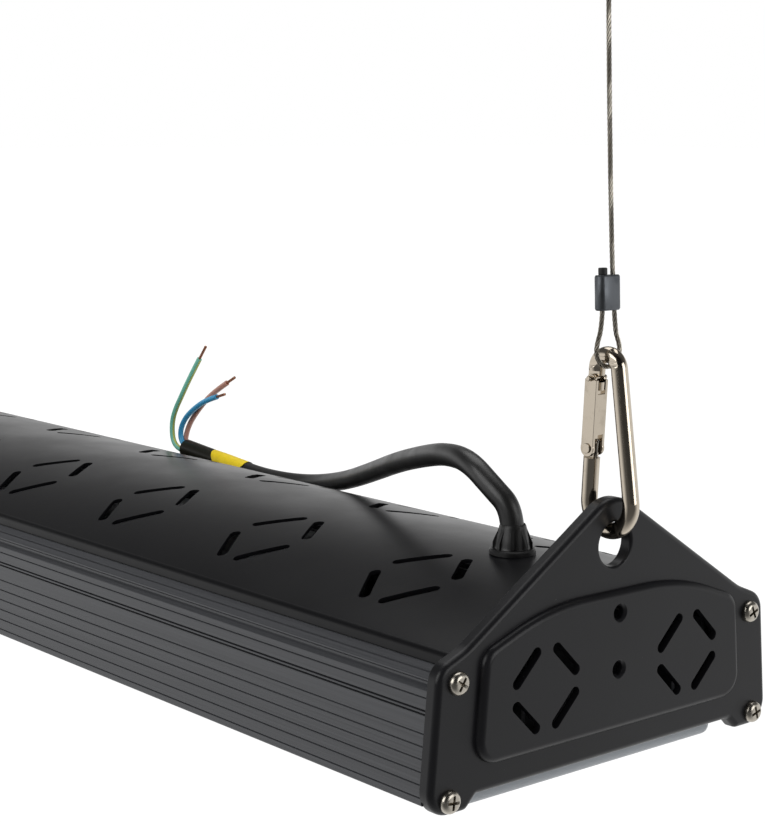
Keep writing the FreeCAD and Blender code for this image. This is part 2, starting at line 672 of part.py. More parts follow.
def lens():
    """Moulded lens tray with its flange."""
    end = PLATE_FACE - LENS_BACK
    flange = rounded_plate(PLATE_FACE - FLANGE_BACK, FLANGE_HALF, 5.0, FLANGE_TOP - FLANGE_THICK, FLANGE_TOP)
    tray = rounded_plate(end, LENS_HALF, 5.0, LENS_BOTTOM, FLANGE_TOP - FLANGE_THICK / 2)
    tray = tray.makeFillet(LENS_ROUND, edges_at(tray, lambda point: point.z < LENS_BOTTOM + 1e-6))
    hollow = rounded_plate(end - LENS_WALL, LENS_HALF - LENS_WALL, 3.0, LENS_BOTTOM + LENS_WALL, FLANGE_TOP + 1)
    holes = lens_screw_holes(FLANGE_TOP + 1, FLANGE_TOP - FLANGE_THICK - 1)
    return flange.fuse(tray).removeSplitter().cut([hollow] + holes)


def lens_gasket():
    """Flat sealing ring between the lens flange and the web."""
    outer = rounded_plate(PLATE_FACE - FLANGE_BACK, FLANGE_HALF, 5.0, FLANGE_TOP, WEB_BOTTOM)
    inner = rounded_plate(PLATE_FACE - FLANGE_BACK - GASKET_WIDTH, FLANGE_HALF - 1.4 * GASKET_WIDTH, 3.0,
                          FLANGE_TOP - 1, WEB_BOTTOM + 1)
    return outer.cut([inner] + lens_screw_holes(WEB_BOTTOM + 1, FLANGE_TOP - 1))


def lens_screws():
    """Screws through the lens flange and gasket into the web."""
    screws = []
    for x, y in lens_screw_places():
        seat = Vector(x, y, FLANGE_TOP - FLANGE_THICK)
        screws.append(pan_screw(LENS_SCREW_R, LENS_HEAD_R, LENS_HEAD, LENS_SCREW_LONG, seat, Z_AXIS))
    return Part.makeCompound(screws)


# ---------------------------------------------------------------- driver bay
def driver_ends():
    """The x of both ends of the driver."""
    return DRIVER_X - DRIVER_LENGTH / 2, DRIVER_X + DRIVER_LENGTH / 2


def driver_case():
    """Open-topped metal case of the driver, standing on the web."""
    start, stop = driver_ends()
    half = DRIVER_WIDTH / 2
    case = bar(start, stop, -half, half, WEB_TOP, WEB_TOP + DRIVER_HEIGHT)
    case = case.makeFillet(2.5, [edge for edge in case.Edges if abs(edge.Length - DRIVER_LENGTH) < 1e-6
                                 and edge.CenterOfMass.z < WEB_TOP + 1])
    hollow = bar(start + DRIVER_WALL, stop - DRIVER_WALL, -half + DRIVER_WALL, half - DRIVER_WALL,
                 WEB_TOP + DRIVER_WALL, WEB_TOP + DRIVER_HEIGHT + 1)
    return case.cut(hollow)


def driver_lid():
    """Sheet lid of the driver with lips down both long sides."""
    start, stop = driver_ends()
    half = DRIVER_WIDTH / 2
    top = WEB_TOP + DRIVER_HEIGHT
    plate = bar(start, stop, -half - LID_THICK - FIT, half + LID_THICK + FIT, top - LID_LIP, top + LID_THICK)
    inside = bar(start - 1, stop + 1, -half - FIT, half + FIT, top - LID_LIP - 1, top)
    return plate.cut(inside)


def driver_screw_places():
    """Where the driver's foot screws stand, as (x, y)."""
    start, stop = driver_ends()
    offset = FIT + FOOT_LONG * 0.6
    return [(x, y) for x in (start - offset, stop + offset) for y in (-DRIVER_SCREW_Y, DRIVER_SCREW_Y)]


def driver_screw_holes():
    """Holes in the web for the driver's foot screws."""
    return [rod(LENS_SCREW_R + FIT, Vector(x, y, WEB_BOTTOM + 1), Vector(x, y, WEB_TOP + 1))
            for x, y in driver_screw_places()]


def driver_brackets():
    """Two bent sheet feet, one against each end of the driver."""
    start, stop = driver_ends()
    half = FOOT_WIDE / 2
    feet = []
    for wall, sign in ((start, -1), (stop, 1)):
        near = wall + sign * FIT
        far = near + sign * FOOT_LONG
        flat = bar(min(near, far), max(near, far), -half, half, WEB_TOP, WEB_TOP + FOOT_SHEET)
        back = near + sign * FOOT_SHEET
        rise = bar(min(near, back), max(near, back), -half, half, WEB_TOP, WEB_TOP + FOOT_UP)
        foot = fused([flat, rise])
        holes = [rod(LENS_SCREW_R + FIT, Vector(x, y, WEB_TOP - 1), Vector(x, y, WEB_TOP + FOOT_SHEET + 1))
                 for x, y in driver_screw_places() if (x - DRIVER_X) * sign > 0]
        feet.append(foot.cut(holes))
    return Part.makeCompound(feet)


def driver_screws():
    """Screws through the driver's feet into the web."""
    length = FOOT_SHEET + WEB_THICK - 1.5
    return Part.makeCompound([
        pan_screw(LENS_SCREW_R, LENS_HEAD_R, LENS_HEAD, length, Vector(x, y, WEB_TOP + FOOT_SHEET), Z_AXIS * -1)
        for x, y in driver_screw_places()])


def terminal_block():
    """Screw terminal block beside the cable entry."""
    long, wide, high = TERMINAL_SIZE
    block = bar(TERMINAL_X - long / 2, TERMINAL_X + long / 2, -wide / 2, wide / 2, WEB_TOP, WEB_TOP + high)
    step = bar(TERMINAL_X + long / 6, TERMINAL_X + long, -wide, wide, WEB_TOP + high * 0.7, WEB_TOP + high + 1)
    cuts = [step]
    for way in range(TERMINAL_WAYS):
        y = (way - (TERMINAL_WAYS - 1) / 2) * TERMINAL_PITCH
        level = WEB_TOP + high * 0.4
        cuts.append(rod(TERMINAL_WIRE_R, Vector(TERMINAL_X, y, level), Vector(TERMINAL_X + long, y, level)))
        cuts.append(rod(TERMINAL_SCREW_R, Vector(TERMINAL_X - long / 8, y, level + 3),
                        Vector(TERMINAL_X - long / 8, y, WEB_TOP + high + 1)))
    return block.cut(cuts)


# ---------------------------------------------------------------- cable entry
def strain_relief():
    """Cable entry: flange on the cover, ribbed boot above it and threaded shank through the sheet."""
    base = COVER_APEX + FIT
    step = base + RELIEF_FLANGE
    tip = step + BOOT_HEIGHT
    profile = [(CABLE_D / 2 + FIT, base - RELIEF_SHANK), (RELIEF_SHANK_R, base - RELIEF_SHANK),
               (RELIEF_SHANK_R, base), (RELIEF_FLANGE_R, base), (RELIEF_FLANGE_R, step - 0.6),
               (RELIEF_FLANGE_R - 0.6, step), (BOOT_R - 0.7, step), (BOOT_R - 1.2, step + BOOT_HEIGHT * 0.35),
               (BOOT_TIP_R, tip - 0.6), (BOOT_TIP_R - 0.3, tip), (CABLE_D / 2 + FIT, tip)]
    points = [Vector(r, 0, z) for r, z in profile]
    body = Part.Face(Part.makePolygon(points + points[:1])).revolve(ORIGIN, Z_AXIS, 360)
    ribs = []
    for index in range(BOOT_RIBS):
        rib_points = [Vector(CABLE_D / 2 + 0.35, 0, step - 0.5), Vector(BOOT_R, 0, step - 0.5),
                      Vector(BOOT_R, 0, step + BOOT_HEIGHT * 0.25), Vector(BOOT_TIP_R, 0, tip - 1.2),
                      Vector(CABLE_D / 2 + 0.35, 0, tip - 1.2)]
        rib = Part.Face(Part.makePolygon(rib_points + rib_points[:1])).extrude(Vector(0, 1.4, 0))
        rib.translate(Vector(0, -0.7, 0))
        rib.rotate(ORIGIN, Z_AXIS, index * 360 / BOOT_RIBS)
        ribs.append(rib)
    body = body.fuse(ribs).removeSplitter()
    body.translate(Vector(RELIEF_X, 0, 0))
    return body


def relief_nut():
    """Hexagon nut that clamps the cable entry from under the cover."""
    top = cover_z(NUT_FLATS / 2, COVER_SHEET) - FIT
    corner = NUT_FLATS / math.sqrt(3)
    points = [Vector(RELIEF_X + corner * math.cos(math.radians(60 * step)),
                     corner * math.sin(math.radians(60 * step)), top - NUT_THICK) for step in range(6)]
    nut = Part.Face(Part.makePolygon(points + points[:1])).extrude(Vector(0, 0, NUT_THICK))
    return nut.cut(rod(RELIEF_SHANK_R + FIT, Vector(RELIEF_X, 0, 0), Vector(RELIEF_X, 0, COVER_APEX)))


# ---------------------------------------------------------------- cords
def cord_radii(points):
    """Radius of the arc at each inner point of a route."""
    radii = []
    for index in range(1, len(points) - 1):
        before = points[index - 1] - points[index]
        after = points[index + 1] - points[index]
        half_turn = (math.pi - before.getAngle(after)) / 2
        radii.append(0.45 * min(before.Length, after.Length) / math.tan(half_turn))
    return radii


def cord_wire(points):
    """Straight runs joined by tangent arcs."""
    edges = []
    start = points[0]
    for index, radius in enumerate(cord_radii(points), start=1):
        arc_start, middle, arc_stop = corner_points(points[index - 1], points[index], points[index + 1], radius)
        edges.append(Part.LineSegment(start, arc_start).toShape())
        edges.append(Part.Arc(arc_start, middle, arc_stop).toShape())
        start = arc_stop
    edges.append(Part.LineSegment(start, points[-1]).toShape())
    return Part.Wire(edges)


def cord(name, points, diameter):
    """Round tube along a route. Its length, arcs and volume are printed."""
    path = cord_wire(points)
    direction = points[1] - points[0]
    ring = Part.Wire(Part.makeCircle(diameter / 2, points[0], direction))
    tube = path.makePipeShell([ring], True, False)
    radii = cord_radii(points)
    expected = math.pi * diameter ** 2 / 4 * path.Length
    print(f"{name}: length {path.Length:.1f}, radii {[round(radius, 1) for radius in radii]}, "
          f"volume {tube.Volume / expected:.4f} of section times length")
    return tube


def from_entry(route):
    """Turn a route given from the cable entry into points about the housing's datum."""
    return [Vector(RELIEF_X + x, y, z) for x, y, z in route]


def tape_axis():
    """Start of the tape on the cable, and the direction it runs in."""
    points = from_entry(CABLE_ROUTE)
    direction = (points[-1] - points[-2]).normalize()
    return points[-1] - direction * TAPE_OVER_SHEATH, direction


def cable_tape():
    """Tape wound over the end of the sheath and, drawn in, over the cores beyond it."""
    start, direction = tape_axis()
    neck = TAPE_OVER_SHEATH + TAPE_NECK
    profile = [(CABLE_D / 2 + FIT, 0), (TAPE_R, 0), (TAPE_R, TAPE_OVER_SHEATH - 4), (TAPE_END_R + 0.3, neck),
               (TAPE_END_R, TAPE_LONG - 0.4), (TAPE_END_R - 0.4, TAPE_LONG), (0, TAPE_LONG),
               (0, TAPE_OVER_SHEATH), (CABLE_D / 2 + FIT, TAPE_OVER_SHEATH)]
    points = [Vector(r, 0, z) for r, z in profile]
    tape = Part.Face(Part.makePolygon(points + points[:1])).revolve(ORIGIN, Z_AXIS, 360)
    tape.Placement = FreeCAD.Placement(start, FreeCAD.Rotation(Z_AXIS, direction))
    return tape


def strand_ends():
    """Bare copper ends of the three cores."""
    ends = []
    for route, long in ((EARTH_ROUTE, 7.0), (NEUTRAL_ROUTE, 6.0), (LIVE_ROUTE, 6.5)):
        points = from_entry(route)
        direction = (points[-1] - points[-2]).normalize()
        ends.append(rod(STRAND_D / 2, points[-1], points[-1] + direction * long))
    return Part.makeCompound(ends)


# ---------------------------------------------------------------- snap hook
def hook_point(radius, centre_up, angle):
    """Point on a bow of the hook, the angle measured from the outer side upwards."""
    turn = math.radians(angle)
    return Vector(radius * math.cos(turn), 0, centre_up + radius * math.sin(turn))


def limb_point(up):
    """Centreline of the gate-side limb at a height above the centre of the lower bow."""
    offset = HOOK_WIDE_R / math.cos(HOOK_TAPER) - up * math.tan(HOOK_TAPER)
    return Vector(-offset, 0, up)


def on_limb(shape):
    """Place a piece drawn about the rivet, with +Z up the gate and +X towards the spine."""
    moved = shape.copy()
    moved.rotate(ORIGIN, Y_AXIS, math.degrees(HOOK_TAPER))
    moved.translate(limb_point(HINGE_UP) + Vector(0, 0, HOOK_WIDE_R))
    return moved


def hook_body():
    """Bent wire of the snap hook with a hinge tongue, a hooked nose tongue and pressed dimples."""
    taper = math.degrees(HOOK_TAPER)
    hinge_end = limb_point(HINGE_UP + TONGUE_THICK)
    low_in = hook_point(HOOK_WIDE_R, 0, 180 - taper)
    low_mid = hook_point(HOOK_WIDE_R, 0, 270)
    low_out = hook_point(HOOK_WIDE_R, 0, taper)
    high_out = hook_point(HOOK_NARROW_R, HOOK_SPAN, taper)
    high_mid = hook_point(HOOK_NARROW_R, HOOK_SPAN, 90)
    high_in = hook_point(HOOK_NARROW_R, HOOK_SPAN, 180 - taper)
    nose_end = limb_point(HINGE_UP + NOSE_TIP * math.cos(HOOK_TAPER))
    path = Part.Wire([Part.LineSegment(hinge_end, low_in).toShape(),
                      Part.Arc(low_in, low_mid, low_out).toShape(),
                      Part.LineSegment(low_out, high_out).toShape(),
                      Part.Arc(high_out, high_mid, high_in).toShape(),
                      Part.LineSegment(high_in, nose_end).toShape()])
    ring = Part.Wire(Part.makeCircle(HOOK_WIRE / 2, hinge_end, low_in - hinge_end))
    body = path.makePipeShell([ring], True, False)
    body.translate(Vector(0, 0, HOOK_WIDE_R))
    return body.cut([on_limb(cut) for cut in tongue_cuts()] + hook_dimples())


def tongue_cuts():
    """What is machined off the gate-side limb to leave the hinge tongue and the nose tongue."""
    half = TONGUE_THICK / 2
    reach = HOOK_WIRE
    cuts = []
    for low, high in ((-TONGUE_START, TONGUE_THICK + 1.5), (NOSE_TIP - 1, NOSE_ROOT)):
        cuts.append(bar(-reach, reach, half, reach, low, high))
        cuts.append(bar(-reach, reach, -reach, -half, low, high))
    tongue_top = bar(-reach, reach, -reach, reach, 0, TONGUE_THICK + 1.5)
    cuts.append(tongue_top.cut(rod(TONGUE_THICK - FIT, Vector(0, -reach, 0), Vector(0, reach, 0))))
    cuts.append(rod(RIVET_R + FIT / 2, Vector(0, -reach, 0), Vector(0, reach, 0)))
    notch = PIN_R + RUN
    cuts.append(bar(0, reach, -reach, reach, PIN_UP - notch, PIN_UP + notch))
    cuts.append(rod(notch, Vector(0, -reach, PIN_UP), Vector(0, reach, PIN_UP)))
    spring_room = bar(HOOK_WIRE / 2 - 1.3, reach, -half, half, -TONGUE_START, TONGUE_THICK)
    cuts.append(spring_room)
    return cuts


def hook_dimples():
    """Shallow pressed dimples on both faces of both limbs under the upper bow."""
    depth = HOOK_WIRE / 2 + DIMPLE_R - DIMPLE_DEEP
    up = HOOK_WIDE_R + DIMPLE_UP
    reach = HOOK_WIDE_R + HOOK_WIRE
    return [rod(DIMPLE_R, Vector(-reach, side * depth, up), Vector(reach, side * depth, up))
            for side in (-1, 1)]


def gate():
    """Folded channel gate: two cheeks, a web between them and round ends about rivet and pin."""
    outer = GATE_WIDE / 2
    inner_y = TONGUE_THICK / 2 + RUN
    outer_y = inner_y + GATE_SHEET
    cheeks = []
    for side in (-1, 1):
        y_from = min(side * inner_y, side * outer_y)
        blade = bar(-outer, outer, y_from, y_from + GATE_SHEET, 0, PIN_UP - 0.4)
        ends = [Part.makeCylinder(TONGUE_THICK, GATE_SHEET, Vector(0, y_from, 0), Y_AXIS),
                Part.makeCylinder(outer - 0.8, GATE_SHEET, Vector(0, y_from, PIN_UP - 0.4), Y_AXIS)]
        cheeks.append(fused([blade] + ends))
    web = bar(outer - GATE_SHEET, outer, -inner_y - GATE_SHEET / 2, inner_y + GATE_SHEET / 2,
              GATE_WEB_FROM, GATE_WEB_TO)
    shell = fused(cheeks + [web])
    folds = [edge for edge in shell.Edges if abs(edge.Length - (GATE_WEB_TO - GATE_WEB_FROM)) < 1e-6
             and abs(abs(edge.CenterOfMass.y) - outer_y) < 1e-6]
    if folds:
        shell = shell.makeFillet(GATE_SHEET * 0.6, folds)
    bores = [rod(RIVET_R + 1.5 * FIT, Vector(0, -outer_y - 1, 0), Vector(0, outer_y + 1, 0)),
             rod(PIN_R + FIT / 2, Vector(0, -outer_y - 1, PIN_UP), Vector(0, outer_y + 1, PIN_UP))]
    return on_limb(shell.cut(bores))


def latch_pin():
    """Cross pin through the top of the gate, which the nose hooks over."""
    return on_limb(rod(PIN_R, Vector(0, -PIN_LONG / 2, PIN_UP), Vector(0, PIN_LONG / 2, PIN_UP)))


def hinge_rivet():
    """Rivet that the gate turns on, headed over both cheeks."""
    reach = TONGUE_THICK / 2 + RUN + GATE_SHEET + FIT
    shank = rod(RIVET_R, Vector(0, -reach - RIVET_HEAD, 0), Vector(0, reach + RIVET_HEAD, 0))
    heads = [rod(RIVET_HEAD_R, Vector(0, side * reach, 0), Vector(0, side * (reach + RIVET_HEAD), 0))
             for side in (-1, 1)]
    return on_limb(fused([shank] + heads))


def gate_spring():
    """Short wire spring beside the hinge tongue, its foot in the root of the hook."""
    across = HOOK_WIRE / 2 - 1.3 + SPRING_D / 2 + FIT / 2
    foot = Vector(across, 0, -TONGUE_START)
    bend = Vector(across, 0, TONGUE_THICK * 0.4)
    tip = Vector(across + 0.5, 0, TONGUE_THICK + 0.4)
    wire = fused([rod(SPRING_D / 2, foot, bend), Part.makeSphere(SPRING_D / 2, bend),
                  rod(SPRING_D / 2, bend, tip)])
    return on_limb(wire)


# ---------------------------------------------------------------- wire rope
def rope_points():
    """Route of the rope about its lower pivot: short leg, lower loop, long run, upper loop, short leg."""
    lower = [(-ROPE_OFFSET, ROPE_STUB)] + list(ROPE_LOOP)
    top = ROPE_SPAN - (HOOK_WIRE - EYE_ROD) / 2
    upper = [(-across, top - along) for across, along in ROPE_LOOP]
    upper.append((-ROPE_OFFSET, top - ROPE_STUB))
    return [Vector(0, across, along) for across, along in lower + upper]


def ferrule(start):
    """Pressed oval sleeve with two bores, beginning at the given height."""
    half_y = FERRULE_WIDE / 2
    half_x = FERRULE_THICK / 2
    corners = [(half_x, half_y, half_x - 0.1), (-half_x, half_y, half_x - 0.1),
               (-half_x, -half_y, half_x - 0.1), (half_x, -half_y, half_x - 0.1)]
    sleeve = face(corners, in_xy(start)).extrude(Vector(0, 0, FERRULE_LONG))
    rims = edges_at(sleeve, lambda point: abs(point.z - start) < 1e-6)
    rims += edges_at(sleeve, lambda point: abs(point.z - start - FERRULE_LONG) < 1e-6)
    sleeve = sleeve.makeFillet(0.6, rims)
    bores = [rod(ROPE_D / 2 + FIT, Vector(0, side * ROPE_OFFSET, start - 1),
                 Vector(0, side * ROPE_OFFSET, start + FERRULE_LONG + 1)) for side in (-1, 1)]
    return sleeve.cut(bores)


def rope_cap(base, along):
    """Small cap over the cut end of the rope, standing on the ferrule."""
    start = Vector(0, -ROPE_OFFSET, base)
    cap = rod(CAP_R, start, start + Vector(0, 0, along * CAP_LONG))
    hollow = rod(ROPE_D / 2 + FIT, start - Vector(0, 0, along), start + Vector(0, 0, along * (CAP_LONG - 0.5)))
    return cap.cut(hollow)


# ---------------------------------------------------------------- ceiling eye
def ceiling_eye():
    """Pad plate with a welded U rod below it and two screw holes."""
    half_x = EYE_PLATE_X / 2
    half_y = EYE_PLATE_Y / 2
    plate = rounded_plate(half_x, half_y, EYE_CORNER_R, -EYE_PLATE, 0)
    plate = plate.makeFillet(1.0, edges_at(plate, lambda point: point.z < -EYE_PLATE + 1e-6))
    centre = -EYE_DROP + EYE_R
    left = Vector(-EYE_R, 0, -EYE_PLATE / 2)
    left_low = Vector(-EYE_R, 0, centre)
    bottom = Vector(0, 0, -EYE_DROP)
    right_low = Vector(EYE_R, 0, centre)
    right = Vector(EYE_R, 0, -EYE_PLATE / 2)
    path = Part.Wire([Part.LineSegment(left, left_low).toShape(),
                      Part.Arc(left_low, bottom, right_low).toShape(),
                      Part.LineSegment(right_low, right).toShape()])
    ring = Part.Wire(Part.makeCircle(EYE_ROD / 2, left, Z_AXIS))
    rod_bow = path.makePipeShell([ring], True, False)
    holes = [rod(EYE_HOLE_R, Vector(0, side * EYE_HOLE_PITCH / 2, -EYE_PLATE - 1),
                 Vector(0, side * EYE_HOLE_PITCH / 2, 1)) for side in (-1, 1)]
    eye = plate.fuse(rod_bow).removeSplitter().cut(holes)
    eye.translate(Vector(EYE_X, 0, 0))
    return eye


# ---------------------------------------------------------------- the whole light
def housing_nodes():
    """Pieces that ride on the housing, by name."""
    plate = end_plate()
    screws = end_screws()
    nodes = {
        "heat_sink": heat_sink(), "top_cover": top_cover(),
        "end_plate_a": plate, "end_plate_b": mirrored(plate),
        "end_screws_a": screws, "end_screws_b": mirrored(screws),
        "led_board_left": led_board(-1), "led_board_right": led_board(1),
        "leds_left": leds(-1), "leds_right": leds(1),
        "lens": lens(), "lens_gasket": lens_gasket(), "lens_screws": lens_screws(),
        "driver_case": driver_case(), "driver_lid": driver_lid(),
        "driver_brackets": driver_brackets(), "driver_screws": driver_screws(),
        "terminal_block": terminal_block(),
        "strain_relief": strain_relief(), "relief_nut": relief_nut(),
        "mains_cable": cord("mains_cable", from_entry(CABLE_ROUTE), CABLE_D),
        "cable_tape": cable_tape(),
        "wire_earth": cord("wire_earth", from_entry(EARTH_ROUTE), CORE_D),
        "wire_neutral": cord("wire_neutral", from_entry(NEUTRAL_ROUTE), CORE_D),
        "wire_live": cord("wire_live", from_entry(LIVE_ROUTE), CORE_D),
        "strand_ends": strand_ends(),
    }
    return {name: lowered(shape) for name, shape in nodes.items()}


def suspension_nodes():
    """Pieces of both hanging lines and both ceiling eyes, by name."""
    top_pivot = ROPE_SPAN
    low_base = FERRULE_FROM
    high_base = top_pivot - (HOOK_WIRE - EYE_ROD) / 2 - FERRULE_FROM - FERRULE_LONG
    rope = cord("wire_rope", rope_points(), ROPE_D)
    caps = Part.makeCompound([rope_cap(low_base + FERRULE_LONG, 1), rope_cap(high_base, -1)])
    line = {
        "snap_hook": on_hang_line(hook_body(), 0), "gate": on_hang_line(gate(), 0),
        "latch_pin": on_hang_line(latch_pin(), 0), "hinge_rivet": on_hang_line(hinge_rivet(), 0),
        "gate_spring": on_hang_line(gate_spring(), 0),
        "wire_rope": on_hang_line(rope, HOOK_PIVOTS),
        "ferrule_low": on_hang_line(ferrule(low_base), HOOK_PIVOTS),
        "ferrule_top": on_hang_line(ferrule(high_base), HOOK_PIVOTS),
        "rope_caps": on_hang_line(caps, HOOK_PIVOTS),
        "ceiling_eye": ceiling_eye(),
    }
    nodes = {}
    for name, shape in line.items():
        nodes[name + "_a"] = shape
        nodes[name + "_b"] = mirrored(shape)
    return nodes


def main():
    """Build every piece and write it as its own STEP file."""
    os.makedirs("parts", exist_ok=True)
    nodes = housing_nodes()
    nodes.update(suspension_nodes())
    for name, shape in nodes.items():
        if not shape.isValid():
            print(f"{name}: not valid")
        shape.exportStep(f"parts/{name}.step")
    print(f"{len(nodes)} nodes, hang lean {HANG_LEAN:.2f} degrees, datum {DATUM_DROP:.2f} below the ceiling")


main()
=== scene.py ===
"""Looks of the hanging shop light: a black finned housing on snap hooks and wire ropes.

Metres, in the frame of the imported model: the origin lies on the ceiling face midway between the two
ceiling eyes, +X runs along the housing and +Z is up. Sizes of pieces are written in millimetres and
turned to metres where they are used.
"""

import logging
from dataclasses import dataclass, field
from enum import Enum
from math import asin, cos, pi, radians, sin

import bmesh
import bpy
from mathutils import Matrix, Vector


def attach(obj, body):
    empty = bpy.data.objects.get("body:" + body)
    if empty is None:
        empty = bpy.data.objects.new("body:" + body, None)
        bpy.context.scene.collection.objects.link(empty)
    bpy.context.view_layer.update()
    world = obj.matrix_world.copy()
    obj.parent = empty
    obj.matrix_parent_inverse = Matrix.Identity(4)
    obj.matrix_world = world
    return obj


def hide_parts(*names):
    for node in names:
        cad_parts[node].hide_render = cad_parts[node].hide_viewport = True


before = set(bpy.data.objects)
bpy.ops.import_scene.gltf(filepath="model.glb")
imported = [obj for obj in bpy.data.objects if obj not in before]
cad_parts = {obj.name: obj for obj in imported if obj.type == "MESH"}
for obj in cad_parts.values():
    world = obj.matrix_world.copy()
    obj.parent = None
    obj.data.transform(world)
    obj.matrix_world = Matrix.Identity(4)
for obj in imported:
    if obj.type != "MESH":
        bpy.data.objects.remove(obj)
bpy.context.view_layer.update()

LOG = logging.getLogger("shop_light")
MM = 0.001
ENDS = ("a", "b")
EDGE_ANGLE = 35.0
WELD_MM = 0.002
FLAT_ANGLE = 0.3
Point = tuple[float, float, float]
Piece = bpy.types.Object
Tree = bpy.types.NodeTree
Source = bpy.types.Node | bpy.types.NodeSocket


class Slot(Enum):
    """Names of the material slots."""

    SINK = "sink_coat"
    COVER = "cover_coat"
    PLATE = "plate_coat"
    STAINLESS = "stainless"
    BOARD = "board"
    EMITTER = "emitter"
    LENS = "lens"
    SEAL = "seal"
    DRIVER = "driver_metal"
    BRACKET = "zinc_sheet"
    TERMINAL = "terminal"
    RELIEF = "relief"
    CABLE = "cable"
    TAPE = "tape"
    EARTH = "core_earth"
    NEUTRAL = "core_neutral"
    LIVE = "core_live"
    COPPER = "copper"
    NICKEL = "nickel"
    SPRING = "spring_steel"
    ROPE = "rope_steel"
    FERRULE = "ferrule"
    CAP = "cap_rubber"
    CEILING = "zinc_steel"


class Body(Enum):
    """Bodies that the pieces ride on; the suspension has one of each at both ends."""

    CEILING = "ceiling"
    HOUSING = "housing"
    ROPE = "rope_line"
    HOOK = "hook"
    GATE = "hook_gate"

    def at(self, end: str = "") -> str:
        """Name of the body at one end of the light."""
        return f"{self.value}_{end}" if end else self.value


# --- colour and nodes
def linear(code: str) -> tuple[float, float, float, float]:
    """Turn an sRGB hex colour into a linear one.

    Args:
        code: Six hex digits after a hash.

    Returns:
        Red, green, blue and an alpha of 1.
    """
    values = [int(code[start:start + 2], 16) / 255 for start in (1, 3, 5)]
    flat = [value / 12.92 if value <= 0.04045 else ((value + 0.055) / 1.055) ** 2.4 for value in values]
    return flat[0], flat[1], flat[2], 1.0


def add_node(tree: Tree, kind: str, inputs: dict | None = None, **settings) -> bpy.types.Node:
    """Add a shader node with its settings and links.

    Args:
        tree: Node tree that it goes into.
        kind: Node type, without the words that all of them start with.
        inputs: Value, output socket or node for each named or numbered input; a node stands for the
            first output that it has in use.
        settings: Properties of the node.

    Returns:
        The new node.
    """
    node = tree.nodes.new(f"ShaderNode{kind}")
    for name, value in settings.items():
        setattr(node, name, value)
    for name, value in (inputs or {}).items():
        if isinstance(value, bpy.types.Node):
            value = next(socket for socket in value.outputs if socket.enabled)
        if isinstance(value, bpy.types.NodeSocket):
            tree.links.new(value, node.inputs[name])
        else:
            node.inputs[name].default_value = value
    return node


def blank_material(name: str) -> tuple[bpy.types.Material, Tree]:
    """Start a material with no nodes.

    Args:
        name: Name of the material.

    Returns:
        The material and its tree.
    """
    material = bpy.data.materials.new(name)
    material.use_nodes = True
    material.node_tree.nodes.clear()
    return material, material.node_tree


# --- finishes
@dataclass(frozen=True)
class Finish:
    """A surface named for its material and how it was made."""

    name: str
    slot: Slot
    colour: str
    rough: float

    def material(self) -> bpy.types.Material:
        """Find the material, or build it the first time it is asked for.

        Returns:
            The material.
        """
        if self.name in bpy.data.materials:
            return bpy.data.materials[self.name]
        material, tree = blank_material(self.name)
        place = add_node(tree, "TexCoord").outputs["Object"]
        shader = add_node(tree, "BsdfPrincipled", self.surface(tree, place))
        add_node(tree, "OutputMaterial", {"Surface": shader})
        return material

    def surface(self, tree: Tree, place: Source) -> dict:
        """Add the finish's patterns; each kind of finish has its own.

        Args:
            tree: Node tree of the material.
            place: Object coordinates.

        Returns:
            Value or source for each input of the shader.
        """
        raise NotImplementedError

    def film(self, tree: Tree, tone: tuple[Source, str], relief: tuple[Source, float, float],
             gloss: tuple[Source, float, float] | None = None, gloss_end: float = 0.7) -> dict:
        """Let textures lead the colour, the relief and the gloss.

        Args:
            tree: Node tree of the material.
            tone: Texture that mixes a second colour in, and that colour.
            relief: Texture that gives the height, its strength and its depth in millimetres.
            gloss: Texture that gives the roughness, and the lowest and highest roughness.
            gloss_end: Value of that texture where the roughness is highest.

        Returns:
            Value or source for each input of the shader.
        """
        mixed = add_node(tree, "Mix", {
            "Factor": tone[0], "A": linear(self.colour), "B": linear(tone[1])}, data_type="RGBA")
        bump = add_node(tree, "Bump", {
            "Height": relief[0], "Strength": relief[1], "Distance": relief[2] * MM})
        inputs = {"Base Color": mixed, "Normal": bump, "Roughness": self.rough}
        if gloss:
            inputs["Roughness"] = add_node(tree, "MapRange", {
                "Value": gloss[0], "From Min": 0.3, "From Max": gloss_end, "To Min": gloss[1],
                "To Max": gloss[2]})
        return inputs


